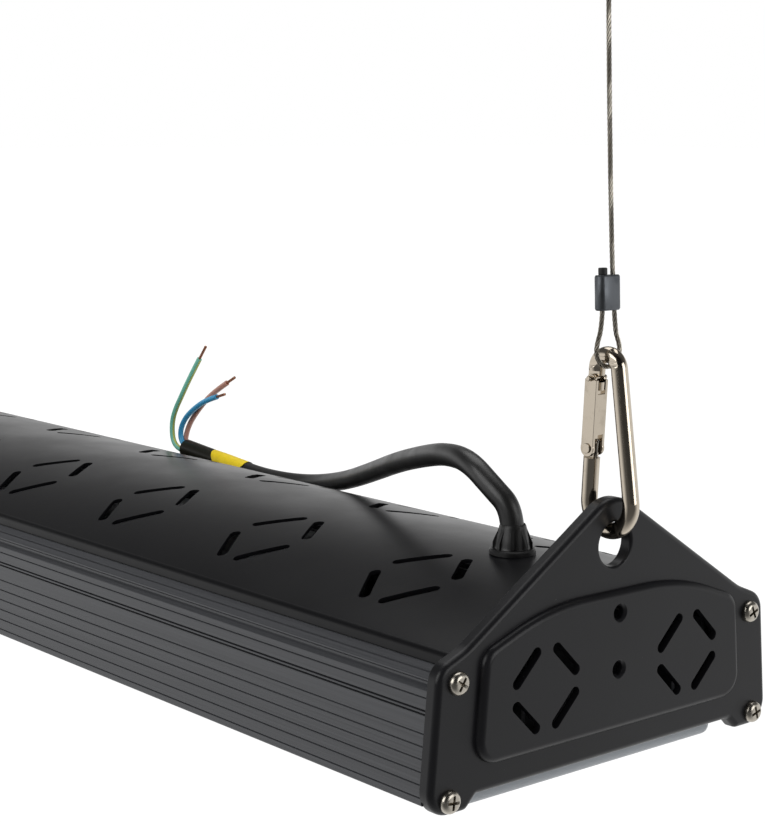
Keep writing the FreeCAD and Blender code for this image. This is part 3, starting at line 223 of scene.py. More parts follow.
@dataclass(frozen=True)
class PowderCoat(Finish):
    """Baked powder paint: a satin film with fine orange peel, a little handling haze and sparse dust."""

    peel_mm: float = 0.9
    peel_deep_mm: float = 0.02
    haze_mm: float = 38.0
    haze: float = 0.035
    dust: str = "#6d6e70"
    dust_step_mm: float = 7.0
    dust_grain_mm: float = 2.2
    dust_share: float = 0.25
    specular: float = 0.5

    def surface(self, tree: Tree, place: Source) -> dict:
        """Lay the paint film and the dust on it.

        Args:
            tree: Node tree of the material.
            place: Object coordinates.

        Returns:
            Value or source for each input of the shader.
        """
        peel = add_node(tree, "TexNoise", {
            "Vector": place, "Scale": 1 / (self.peel_mm * MM), "Detail": 2.0, "Roughness": 0.5})
        haze = add_node(tree, "TexNoise", {
            "Vector": place, "Scale": 1 / (self.haze_mm * MM), "Detail": 4.0, "Roughness": 0.62})
        film = self.film(tree, (haze, darker(self.colour)), (peel, 0.55, self.peel_deep_mm),
                         (haze, self.rough - self.haze, self.rough + self.haze))
        specks = add_node(tree, "TexVoronoi", {"Vector": place, "Scale": 1 / (self.dust_step_mm * MM)})
        grain = add_node(tree, "TexNoise", {
            "Vector": place, "Scale": 1 / (self.dust_grain_mm * MM), "Detail": 3.0})
        reach = add_node(tree, "MapRange", {
            "Value": grain, "From Min": 0.45, "From Max": 0.75, "To Min": 0.012, "To Max": 0.05})
        near = add_node(tree, "Math", {0: specks, 1: reach}, operation="LESS_THAN")
        share = add_node(tree, "Math", {0: near, 1: self.dust_share}, operation="MULTIPLY")
        dusty = add_node(tree, "Mix", {
            "Factor": share, "A": film["Base Color"], "B": linear(self.dust)}, data_type="RGBA")
        return film | {"Base Color": dusty, "Specular IOR Level": self.specular}


def darker(code: str, share: float = 0.8) -> str:
    """Return a hex colour with every channel cut to a share of itself."""
    values = [round(int(code[start:start + 2], 16) * share) for start in (1, 3, 5)]
    return "#" + "".join(f"{value:02x}" for value in values)


@dataclass(frozen=True)
class DrawnCoat(Finish):
    """Extruded aluminium under a thin black coat: long draw lines show through along its length."""

    line_mm: float = 0.7
    line_stretch: float = 300.0
    line_deep_mm: float = 0.02
    light: str = "#4c4d50"
    uneven: float = 0.06
    specular: float = 0.5

    def surface(self, tree: Tree, place: Source) -> dict:
        """Lay the coat and the draw lines below it.

        Args:
            tree: Node tree of the material.
            place: Object coordinates.

        Returns:
            Value or source for each input of the shader.
        """
        across = 1 / (self.line_mm * MM)
        drawn = add_node(tree, "Mapping", {
            "Vector": place, "Scale": (across / self.line_stretch, across, across)})
        lines = add_node(tree, "TexNoise", {"Vector": drawn, "Scale": 1.0, "Detail": 3.0, "Roughness": 0.6})
        film = self.film(tree, (lines, self.light), (lines, 0.35, self.line_deep_mm),
                         (lines, self.rough - self.uneven, self.rough + self.uneven))
        return film | {"Specular IOR Level": self.specular}


@dataclass(frozen=True)
class Metal(Finish):
    """Bare or plated metal: soft smudges change its gloss, and fine scratches or grain run in it."""

    stain: str = "#6a655d"
    stain_share: float = 0.2
    smudge_mm: float = 6.0
    grain_mm: float = 0.25
    grain_deep_mm: float = 0.006
    stretch: Point = (1.0, 1.0, 1.0)

    def surface(self, tree: Tree, place: Source) -> dict:
        """Lay the grain and the smudges on the metal.

        Args:
            tree: Node tree of the material.
            place: Object coordinates.

        Returns:
            Value or source for each input of the shader.
        """
        fine = 1 / (self.grain_mm * MM)
        turned = add_node(tree, "Mapping", {
            "Vector": place, "Scale": tuple(fine * share for share in self.stretch)})
        grain = add_node(tree, "TexNoise", {"Vector": turned, "Scale": 1.0, "Detail": 2.0})
        smudge = add_node(tree, "TexNoise", {
            "Vector": place, "Scale": 1 / (self.smudge_mm * MM), "Detail": 5.0, "Roughness": 0.65})
        stained = add_node(tree, "MapRange", {
            "Value": smudge, "From Min": 0.52, "From Max": 0.78, "To Min": 0.0, "To Max": self.stain_share})
        film = self.film(tree, (stained, self.stain), (grain, 0.5, self.grain_deep_mm),
                         (smudge, self.rough * 0.75, self.rough * 1.5), gloss_end=0.75)
        return film | {"Metallic": 1.0}


@dataclass(frozen=True)
class Moulded(Finish):
    """Moulded or extruded plastic and rubber: an even colour with faint flow marks and a fine skin."""

    skin_mm: float = 0.35
    skin_deep_mm: float = 0.01
    flow_mm: float = 11.0
    mottle: float = 0.12
    specular: float = 0.5

    def surface(self, tree: Tree, place: Source) -> dict:
        """Lay the flow marks and the skin on the plastic.

        Args:
            tree: Node tree of the material.
            place: Object coordinates.

        Returns:
            Value or source for each input of the shader.
        """
        flow = add_node(tree, "TexNoise", {
            "Vector": place, "Scale": 1 / (self.flow_mm * MM), "Detail": 4.0, "Roughness": 0.6})
        skin = add_node(tree, "TexNoise", {"Vector": place, "Scale": 1 / (self.skin_mm * MM), "Detail": 2.0})
        film = self.film(tree, (flow, darker(self.colour, 1 - 2 * self.mottle)),
                         (skin, 0.5, self.skin_deep_mm), (flow, self.rough - 0.05, self.rough + 0.07))
        return film | {"Specular IOR Level": self.specular}


@dataclass(frozen=True)
class StripedCore(Moulded):
    """Two-colour core insulation: the second colour is a stripe along the wire, read from the sweep's UV."""

    stripe: str = "#b9bf5c"
    stripe_share: float = 0.15
    stripe_at: float = 0.36

    def surface(self, tree: Tree, place: Source) -> dict:
        """Lay the stripe along the plastic.

        Args:
            tree: Node tree of the material.
            place: Object coordinates.

        Returns:
            Value or source for each input of the shader.
        """
        film = super().surface(tree, place)
        wrap = add_node(tree, "UVMap", uv_map=Sweep.UV)
        parts = add_node(tree, "SeparateXYZ", {"Vector": wrap})
        inside = add_node(tree, "Math", {
            0: parts.outputs["X"], 1: self.stripe_at, 2: self.stripe_share / 2}, operation="COMPARE")
        striped = add_node(tree, "Mix", {
            "Factor": inside, "A": film["Base Color"], "B": linear(self.stripe)}, data_type="RGBA")
        return film | {"Base Color": striped}


@dataclass(frozen=True)
class HazardTape(Finish):
    """PVC warning tape: glossy film in broad slanted bands of yellow and black, its yellow scuffed darker in
    patches.
    """

    band: str = "#fbdc12"
    band_from_mm: float = 3.5
    band_to_mm: float = 22.5
    slant_mm: float = 10.0
    side_turn: float = pi / 4
    crease_mm: float = 3.0
    crease_deep_mm: float = 0.12

    def surface(self, tree: Tree, place: Source) -> dict:
        """Lay the bands by the sweep's UV: X runs round the tape and Y along it.

        Args:
            tree: Node tree of the material.
            place: Object coordinates.

        Returns:
            Value or source for each input of the shader.
        """
        wrap = add_node(tree, "UVMap", uv_map=Sweep.UV)
        parts = add_node(tree, "SeparateXYZ", {"Vector": wrap})
        turn = add_node(tree, "Math", {0: parts.outputs["X"], 1: 2 * pi}, operation="MULTIPLY")
        from_side = add_node(tree, "Math", {0: turn, 1: self.side_turn}, operation="SUBTRACT")
        wave = add_node(tree, "Math", {0: from_side}, operation="SINE")
        slant = add_node(tree, "Math", {0: wave, 1: self.slant_mm * MM / 2}, operation="MULTIPLY")
        edges = {}
        for number, (lean, side, edge_mm) in enumerate((("ADD", "GREATER_THAN", self.band_from_mm),
                                                        ("SUBTRACT", "LESS_THAN", self.band_to_mm))):
            along = add_node(tree, "Math", {0: parts.outputs["Y"], 1: slant}, operation=lean)
            edges[number] = add_node(tree, "Math", {0: along, 1: edge_mm * MM}, operation=side)
        inside = add_node(tree, "Math", edges, operation="MULTIPLY")
        creases = add_node(tree, "TexNoise", {
            "Vector": place, "Scale": 1 / (self.crease_mm * MM), "Detail": 5.0, "Roughness": 0.7})
        worn = add_node(tree, "Mix", {
            "Factor": creases, "A": linear(self.band), "B": linear(darker(self.band, 0.82))},
            data_type="RGBA")
        film = self.film(tree, (inside, self.band), (creases, 0.6, self.crease_deep_mm))
        tree.links.new(worn.outputs["Result"], film["Base Color"].inputs["B"])
        return film


@dataclass(frozen=True)
class Frosted(Finish):
    """Opal polycarbonate: a clouded tray that passes soft light and keeps a dull sheen."""

    passes: float = 0.35
    bends: float = 1.58
    cloud_mm: float = 25.0
    grain_mm: float = 0.6
    grain_deep_mm: float = 0.015

    def surface(self, tree: Tree, place: Source) -> dict:
        """Cloud the opal plastic.

        Args:
            tree: Node tree of the material.
            place: Object coordinates.

        Returns:
            Value or source for each input of the shader.
        """
        cloud = add_node(tree, "TexNoise", {
            "Vector": place, "Scale": 1 / (self.cloud_mm * MM), "Detail": 3.0})
        grain = add_node(tree, "TexNoise", {
            "Vector": place, "Scale": 1 / (self.grain_mm * MM), "Detail": 2.0})
        film = self.film(tree, (cloud, darker(self.colour, 0.9)), (grain, 0.4, self.grain_deep_mm))
        return film | {"Transmission Weight": self.passes, "IOR": self.bends}


SATIN_COVER = PowderCoat("powder_coated_steel_cover", Slot.COVER, "#0f0f11", 0.31, specular=0.2)
SATIN_PLATE = PowderCoat("powder_coated_cast_plate", Slot.PLATE, "#151518", 0.33, peel_mm=1.1, specular=0.3)
DRAWN_SINK = DrawnCoat("black_coated_drawn_aluminium", Slot.SINK, "#242528", 0.34, specular=0.42)
STAINLESS = Metal("turned_stainless_steel", Slot.STAINLESS, "#b9b3a8", 0.24)
NICKEL = Metal("bright_nickel_plate", Slot.NICKEL, "#c6bbab", 0.12, stain="#7d7464", stain_share=0.35)
SPRING_STEEL = Metal("bright_spring_wire", Slot.SPRING, "#b5b1aa", 0.22)
ROPE_STEEL = Metal("galvanised_rope_wire", Slot.ROPE, "#a8a297", 0.3, stain="#5c574f", stain_share=0.5)
FERRULE_ALU = Metal("pressed_aluminium_sleeve", Slot.FERRULE, "#626569", 0.40, stain="#45484c",
                    stain_share=0.4, stretch=(1.0, 1.0, 0.15))
ZINC_STEEL = Metal("zinc_plated_steel", Slot.CEILING, "#a7a9aa", 0.32, stain="#74767a")
ZINC_SHEET = Metal("zinc_plated_sheet", Slot.BRACKET, "#a2a5a6", 0.35, stain="#74767a")
MILL_SHEET = Metal("mill_finish_aluminium_sheet", Slot.DRIVER, "#b6b8ba", 0.36, stretch=(0.05, 1.0, 1.0))
COPPER = Metal("bare_copper_strand", Slot.COPPER, "#c08a70", 0.34, stain="#5f4438", stain_share=0.55)
BOARD_MASK = Moulded("white_solder_mask", Slot.BOARD, "#e4e6e5", 0.38, mottle=0.03)
PHOSPHOR = Moulded("phosphor_in_silicone", Slot.EMITTER, "#e3c65e", 0.32, mottle=0.08)
OPAL = Frosted("opal_polycarbonate", Slot.LENS, "#aab0b6", 0.3)
SILICONE = Moulded("silicone_foam_seal", Slot.SEAL, "#202020", 0.75, skin_mm=0.8, skin_deep_mm=0.05)
TERMINAL_PA = Moulded("natural_polyamide", Slot.TERMINAL, "#dcdad2", 0.42, mottle=0.05)
RELIEF_PA = Moulded("black_polyamide", Slot.RELIEF, "#141414", 0.38)
SHEATH = Moulded("black_rubber_sheath", Slot.CABLE, "#131313", 0.4, skin_mm=0.5, skin_deep_mm=0.02,
                 specular=0.75)
TAPE = HazardTape("pvc_hazard_tape", Slot.TAPE, "#17160c", 0.36)
EARTH = StripedCore("green_yellow_pvc", Slot.EARTH, "#7cc9b3", 0.34, mottle=0.05)
NEUTRAL = Moulded("blue_pvc", Slot.NEUTRAL, "#449fd0", 0.34, mottle=0.05)
LIVE = Moulded("brown_pvc", Slot.LIVE, "#c08f80", 0.36, mottle=0.05)
CAP_RUBBER = Moulded("black_rubber_cap", Slot.CAP, "#161616", 0.55)


# --- modelling helpers
def only(*pieces: Piece) -> None:
    """Select pieces alone and make the first one active.

    Args:
        pieces: The pieces.
    """
    bpy.ops.object.select_all(action="DESELECT")
    for piece in pieces:
        piece.select_set(True)
    bpy.context.view_layer.objects.active = pieces[0]


def placed(name: str, data: bpy.types.ID) -> Piece:
    """Put new data into the scene.

    Args:
        name: Name of its object.
        data: Mesh, curve, camera or lamp.

    Returns:
        The object.
    """
    made = bpy.data.objects.new(name, data)
    bpy.context.scene.collection.objects.link(made)
    return made


def joined(pieces: list[Piece]) -> Piece:
    """Join pieces into the first one.

    Args:
        pieces: The pieces.

    Returns:
        The joined piece.
    """
    only(*pieces)
    bpy.ops.object.join()
    return pieces[0]


def skin(shape: bmesh.types.BMesh, rings: list[list[bmesh.types.BMVert]]) -> list[bmesh.types.BMFace]:
    """Join rings of corners by panels and close both ends.

    Args:
        shape: Shape that holds the corners.
        rings: Corners of each ring, all in the same order.

    Returns:
        The panels, ring by ring, without the ends.
    """
    panels = []
    for low, high in zip(rings, rings[1:]):
        for side in range(len(low)):
            after = (side + 1) % len(low)
            panels.append(shape.faces.new((low[side], low[after], high[after], high[side])))
    shape.faces.new(list(reversed(rings[0])))
    shape.faces.new(rings[-1])
    return panels


def piece_of(name: str, shape: bmesh.types.BMesh, angle: float) -> Piece:
    """Turn a finished shape into a piece, shaded smooth.

    Args:
        name: Name of the piece.
        shape: Its shape, which is freed.
        angle: Edges sharper than this many degrees stay sharp in shading.

    Returns:
        The piece, selected and active.
    """
    data = bpy.data.meshes.new(name)
    shape.to_mesh(data)
    shape.free()
    piece = placed(name, data)
    only(piece)
    bpy.ops.object.shade_smooth_by_angle(angle=radians(angle))
    return piece


def reaches(path: list[Vector]) -> list[float]:
    """Measure how far along a run of points each one lies.

    Args:
        path: The points.

    Returns:
        Distance of each point from the first, along the run.
    """
    reach = [0.0]
    for before, after in zip(path, path[1:]):
        reach.append(reach[-1] + (after - before).length)
    return reach


def beside(across: Vector, up: Vector, turn: float) -> Vector:
    """Return the direction at a turn round a path, from its two cross directions."""
    return across * cos(turn) + up * sin(turn)


def finish_piece(piece: Piece, finish: Finish, body: str, nodes: tuple[str, ...] = ()) -> None:
    """Dress a piece, let it ride on its body and stand for its nodes.

    Args:
        piece: The piece, in place.
        finish: Its surface.
        body: Name of the body that it rides on.
        nodes: Nodes of the model that it stands for.
    """
    piece.data.materials.clear()
    piece.data.materials.append(finish.material())
    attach(piece, body)
    if nodes:
        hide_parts(*nodes)
    LOG.info("%s: %s on %s", piece.name, finish.name, body)


def smoothed(node: str, soft_mm: float = 0.0, angle: float = EDGE_ANGLE) -> Piece:
    """Copy a rigid node's mesh, merge its loose triangles and break its sharp edges.

    Args:
        node: Name of the node.
        soft_mm: Width of the broken edge, or 0 for none.
        angle: Edges sharper than this many degrees stay sharp in shading.

    Returns:
        The copy, at the node's place.
    """
    piece = placed(f"{node}_skin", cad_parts[node].data.copy())
    only(piece)
    bpy.ops.object.mode_set(mode="EDIT")
    bpy.ops.mesh.select_all(action="SELECT")
    bpy.ops.mesh.remove_doubles(threshold=WELD_MM * MM)
    bpy.ops.mesh.dissolve_limited(angle_limit=radians(FLAT_ANGLE))
    bpy.ops.object.mode_set(mode="OBJECT")
    break_edges(piece, soft_mm, angle)
    return piece


def break_edges(piece: Piece, soft_mm: float, angle: float) -> None:
    """Bevel an active piece's sharp edges and shade the rest smooth.

    Args:
        piece: The piece, selected and active.
        soft_mm: Width of the broken edge, or 0 for none.
        angle: Edges sharper than this many degrees stay sharp in shading.
    """
    if soft_mm > 0:
        bevel = piece.modifiers.new("broken_edge", "BEVEL")
        bevel.width = soft_mm * MM
        bevel.segments = 2
        bevel.limit_method = "ANGLE"
        bevel.angle_limit = radians(EDGE_ANGLE)
        bpy.ops.object.modifier_apply(modifier=bevel.name)
    bpy.ops.object.shade_smooth_by_angle(angle=radians(angle))
    even = piece.modifiers.new("flat_faces_stay_flat", "WEIGHTED_NORMAL")
    even.mode = "FACE_AREA"
    even.keep_sharp = True
    bpy.ops.object.modifier_apply(modifier=even.name)


def dress(node: str, finish: Finish, body: str, soft_mm: float = 0.0, angle: float = EDGE_ANGLE) -> Piece:
    """Put a smoothed and dressed copy in a node's place.

    Args:
        node: Name of the node.
        finish: Its surface.
        body: Name of the body that it rides on.
        soft_mm: Width of its broken edges.
        angle: Shading angle in degrees.

    Returns:
        The dressed piece.
    """
    piece = smoothed(node, soft_mm, angle)
    finish_piece(piece, finish, body, (node,))
    return piece


class Sweep:
    """A tube, or several, along the line of a cord."""

    UV = "wrap"

    def __init__(self, name: str) -> None:
        """Start an empty piece.

        Args:
            name: Name of the piece.
        """
        self.name = name
        self.mesh = bmesh.new()
        self.uv = self.mesh.loops.layers.uv.new(self.UV)

    @staticmethod
    def frames(path: list[Vector]) -> list[tuple[Vector, Vector, Vector]]:
        """Carry a pair of cross directions along a path without twisting them.

        Args:
            path: Points of the path.

        Returns:
            Tangent and two cross directions at each point.
        """
        tangents = []
        for index in range(len(path)):
            before = path[max(index - 1, 0)]
            after = path[min(index + 1, len(path) - 1)]
            tangents.append((after - before).normalized())
        across = tangents[0].orthogonal().normalized()
        result = []
        for tangent in tangents:
            across = (across - tangent * across.dot(tangent)).normalized()
            result.append((tangent, across, tangent.cross(across)))
        return result

    def tube(self, path: list[Vector], radii: list[float], sides: int) -> None:
        """Add one round tube.

        Args:
            path: Points of its centreline.
            radii: Radius at each point, in metres.
            sides: Count of its sides.
        """
        turns = [2 * pi * side / sides for side in range(sides)]
        rings = [[self.mesh.verts.new(point + beside(across, up, turn) * radius) for turn in turns]
                 for point, radius, (_, across, up) in zip(path, radii, self.frames(path))]
        reach = reaches(path)
        for number, panel in enumerate(skin(self.mesh, rings)):
            step, side = divmod(number, sides)
            corners = ((side, step), (side + 1, step), (side + 1, step + 1), (side, step + 1))
            for loop, (turn, run) in zip(panel.loops, corners):
                loop[self.uv].uv = (turn / sides, reach[run])

    def twist(self, path: list[Vector], turns: list[float], count: int, off: float, radius: float,
              sides: int) -> None:
        """Add strands that are twisted round a path.

        Args:
            path: Points of the path.
            turns: Turns that the strands have made at each point.
            count: Count of strands.
            off: Distance of a strand's middle from the path, in metres.
            radius: Radius of a strand, in metres.
            sides: Count of a strand's sides.
        """
        frames = self.frames(path)
        for strand in range(count):
            laid = [point + beside(across, up, 2 * pi * (strand / count + turn)) * off
                    for point, turn, (_, across, up) in zip(path, turns, frames)]
            self.tube(laid, [radius] * len(laid), sides)

    def piece(self) -> Piece:
        """Close the mesh and return it as a smooth-shaded object."""
        return piece_of(self.name, self.mesh, 50)


@dataclass(frozen=True)
class Route:
    """Line of a cord: listed points, in millimetres, smoothed by one spline."""

    name: str
    points: tuple[Point | Vector, ...]
    base: Point | Vector

    def controls(self) -> list[Vector]:
        """The points in metres, in the model's frame."""
        return [(Vector(self.base) + Vector(point)) * MM for point in self.points]

    def curve(self) -> Piece:
        """Draw the spline.

        Returns:
            A curve object with no thickness.
        """
        data = bpy.data.curves.new(self.name, "CURVE")
        data.dimensions = "3D"
        data.resolution_u = 16
        spline = data.splines.new("NURBS")
        controls = self.controls()
        spline.points.add(len(controls) - 1)
        for point, place in zip(spline.points, controls):
            point.co = (*place, 1.0)
        spline.order_u = 3
        spline.use_endpoint_u = True
        return placed(self.name, data)

    def path(self) -> list[Vector]:
        """Read the spline.

        Returns:
            Points along it.
        """
        guide = self.curve()
        bpy.context.view_layer.update()
        line = bpy.data.meshes.new_from_object(guide)
        points = [vertex.co.copy() for vertex in line.vertices]
        bpy.data.meshes.remove(line)
        bpy.data.objects.remove(guide)
        return points


# --- housing
@dataclass
class PanScrew:
    """Cross-recessed pan head screw, modelled once and copied to its places.

    The recess's length and width are shares of the head's radius, and its depth one of the head's height.
    """

    head_r_mm: float
    head_mm: float
    shank_r_mm: float
    shank_mm: float
    crown: float = 0.8
    recess_long: float = 1.85
    recess_wide: float = 0.38
    recess_deep: float = 1.5
    recess_taper: float = 0.35

    def blank(self) -> Piece:
        """Model the screw.

        Returns:
            One screw at the origin with its head up.
        """
        head_r, head = self.head_r_mm * MM, self.head_mm * MM
        bpy.ops.object.select_all(action="DESELECT")
        bpy.ops.mesh.primitive_cylinder_add(vertices=40, radius=head_r, depth=head, location=(0, 0, head / 2))
        screw = bpy.context.object
        bpy.ops.object.transform_apply(location=True, rotation=True, scale=True)
        bpy.ops.object.mode_set(mode="EDIT")
        bpy.ops.mesh.select_mode(type="FACE")
        self.select_end(screw, 1)
        bpy.ops.mesh.bevel(offset=head * self.crown, segments=8, profile=0.5, affect="EDGES")
        self.select_end(screw, -1)
        bpy.ops.mesh.inset(thickness=head_r - self.shank_r_mm * MM, depth=0)
        bpy.ops.mesh.extrude_region_move(TRANSFORM_OT_translate={"value": (0, 0, -self.shank_mm * MM)})
        bpy.ops.object.mode_set(mode="OBJECT")
        self.cut_recess(screw)
        only(screw)
        bpy.ops.object.shade_smooth_by_angle(angle=radians(32))
        return screw

    @staticmethod
    def select_end(screw: Piece, way: int) -> None:
        """Select the faces at one end of a screw in edit mode.

        Args:
            screw: The screw.
            way: 1 for those that look up and -1 for those that look down.
        """
        bpy.ops.mesh.select_all(action="DESELECT")
        shape = bmesh.from_edit_mesh(screw.data)
        for part in shape.faces:
            part.select_set(part.normal.z * way > 0.9)
        bmesh.update_edit_mesh(screw.data)

    def cut_recess(self, screw: Piece) -> None:
        """Cut the tapering cross into the head.

        Args:
            screw: The screw blank.
        """
        head_r, head = self.head_r_mm * MM, self.head_mm * MM
        for quarter in (0, 1):
            bpy.ops.object.select_all(action="DESELECT")
            bpy.ops.mesh.primitive_cube_add(size=1, location=(0, 0, head))
            arm = bpy.context.object
            arm.scale = (head_r * self.recess_long, head_r * self.recess_wide, head * self.recess_deep)
            arm.rotation_euler = (0, 0, radians(45 + 90 * quarter))
            bpy.ops.object.transform_apply(location=True, rotation=True, scale=True)
            for vertex in arm.data.vertices:
                if vertex.co.z < head:
                    vertex.co.x *= self.recess_taper
                    vertex.co.y *= self.recess_taper
            only(screw)
            cut = screw.modifiers.new("recess", "BOOLEAN")
            cut.operation = "DIFFERENCE"
            cut.solver = "EXACT"
            cut.object = arm
            bpy.ops.object.modifier_apply(modifier=cut.name)
            bpy.data.objects.remove(arm)

    def group(self, name: str, places: list[tuple[Vector, Vector, float]]) -> Piece:
        """Copy the screw to its places as one piece.

        Args:
            name: Name of the group.
            places: Seat, outward direction and turn in degrees of each screw.

        Returns:
            The joined screws.
        """
        blank = self.blank()
        copies = []
        for seat, outward, turn in places:
            copy = placed(name, blank.data.copy())
            facing = Vector((0, 0, 1)).rotation_difference(outward).to_matrix().to_4x4()
            spun = Matrix.Rotation(radians(turn), 4, "Z")
            copy.data.transform(Matrix.Translation(seat) @ facing @ spun)
            copies.append(copy)
        bpy.data.objects.remove(blank)
        return joined(copies)


@dataclass
class CurvedCover:
    """Vented sheet cover, its coarse facets cut finer and drawn onto the true arc."""

    centre_mm: float = -457.765
    outer_r_mm: float = 187.0
    inner_r_mm: float = 185.5
    arc_half_mm: float = 73.6
    cuts: int = 46
    caught_mm: float = 0.3
    edge_mm: float = 0.2
    edge_angle: float = 30.0
    skin_angle: float = 4.0

    def build(self) -> Piece:
        """Cut and draw the cover.

        Returns:
            The finely curved cover.
        """
        piece = smoothed("top_cover")
        shape = bmesh.new()
        shape.from_mesh(piece.data)
        centre = Vector((0, 0, self.centre_mm * MM))
        reach = asin(self.arc_half_mm / self.outer_r_mm)
        for index in range(self.cuts + 1):
            turn = reach * (2 * index / self.cuts - 1)
            bmesh.ops.bisect_plane(shape, geom=shape.verts[:] + shape.edges[:] + shape.faces[:],
                                   plane_co=centre, plane_no=(0, cos(turn), -sin(turn)))
        for vertex in shape.verts:
            self.draw_onto_arc(vertex, centre)
        shape.to_mesh(piece.data)
        shape.free()
        only(piece)
        break_edges(piece, self.edge_mm, self.edge_angle)
        self.set_normals(piece, centre)
        return piece

    def draw_onto_arc(self, vertex: bmesh.types.BMVert, centre: Vector) -> None:
        """Move a vertex of the outer or inner skin onto its arc.

        Args:
            vertex: The vertex.
            centre: Point on the axis of the arc.
        """
        out = Vector((0, vertex.co.y, vertex.co.z - centre.z))
        if abs(vertex.co.y) > self.arc_half_mm * MM:
            return
        for radius in (self.outer_r_mm, self.inner_r_mm):
            if abs(out.length / MM - radius) < self.caught_mm:
                drawn = out.normalized() * radius * MM
                vertex.co.y, vertex.co.z = drawn.y, drawn.z + centre.z

    def set_normals(self, piece: Piece, centre: Vector) -> None:
        """Give the corners of the curved skins the true normal of the arc.

        Args:
            piece: The cover.
            centre: Point on the axis of the arc.
        """
        mesh = piece.data
        normals = [Vector((0, 0, 0)) for _ in mesh.loops]
        for panel in mesh.polygons:
            middle = panel.center
            if abs(middle.y) > self.arc_half_mm * MM:
                continue
            facing = panel.normal.dot(Vector((0, middle.y, middle.z - centre.z)).normalized())
            if abs(facing) < cos(radians(self.skin_angle)):
                continue
            for loop in panel.loop_indices:
                place = mesh.vertices[mesh.loops[loop].vertex_index].co
                out = Vector((0, place.y, place.z - centre.z)).normalized()
                normals[loop] = out if facing > 0 else -out
        mesh.normals_split_custom_set(normals)


@dataclass
class Housing:
    """Extruded heat sink, vented cover, end plates and their screws."""

    datum_mm: float = -314.965
    plate_face_mm: float = 326.0
    screw_up: tuple[float, float] = (74.9, 20.0)
    screw_low: tuple[float, float] = (78.4, -20.0)
    screw: PanScrew = field(default_factory=lambda: PanScrew(4.15, 2.6, 2.0, 6.0))
    screw_turns: tuple[float, ...] = (12.0, 38.0, -22.0, 61.0)

    def build(self) -> None:
        """Dress every piece of the housing's outside."""
        body = Body.HOUSING.at()
        dress("heat_sink", DRAWN_SINK, body, soft_mm=0.18)
        finish_piece(CurvedCover().build(), SATIN_COVER, body, ("top_cover",))
        for end, way in zip(ENDS, (1, -1)):
            dress(f"end_plate_{end}", SATIN_PLATE, body, soft_mm=0.25, angle=40)
            screws = self.screw.group(f"pan_screws_{end}", self.screw_places(way))
            finish_piece(screws, STAINLESS, body, (f"end_screws_{end}",))

    def screw_places(self, way: int) -> list[tuple[Vector, Vector, float]]:
        """Seats of one end plate's screws.

        Args:
            way: 1 for the +X end and -1 for the other.

        Returns:
            Seat, outward direction and turn of each screw.
        """
        corners = [(side * y, z) for side in (-1, 1) for y, z in (self.screw_up, self.screw_low)]
        outward = Vector((way, 0, 0))
        return [(Vector((way * self.plate_face_mm, y, self.datum_mm + z)) * MM, outward, turn)
                for (y, z), turn in zip(corners, self.screw_turns)]


class LightChamber:
    """Boards with their emitters behind the opal tray, its seal and its screws."""

    def build(self) -> None:
        """Dress the light chamber."""
        body = Body.HOUSING.at()
        for side in ("left", "right"):
            dress(f"led_board_{side}", BOARD_MASK, body)
            dress(f"leds_{side}", PHOSPHOR, body, soft_mm=0.3)
        for node, finish in (("lens", OPAL), ("lens_gasket", SILICONE), ("lens_screws", STAINLESS)):
            dress(node, finish, body)


class DriverBay:
    """Driver, its feet and the terminal block, which show only through the vents."""

    def build(self) -> None:
        """Dress the driver bay."""
        for node, finish, soft_mm in (("driver_case", MILL_SHEET, 0.3), ("driver_lid", MILL_SHEET, 0.3),
                                      ("driver_brackets", ZINC_SHEET, 0.2), ("driver_screws", STAINLESS, 0.0),
                                      ("terminal_block", TERMINAL_PA, 0.3)):
            dress(node, finish, Body.HOUSING.at(), soft_mm)


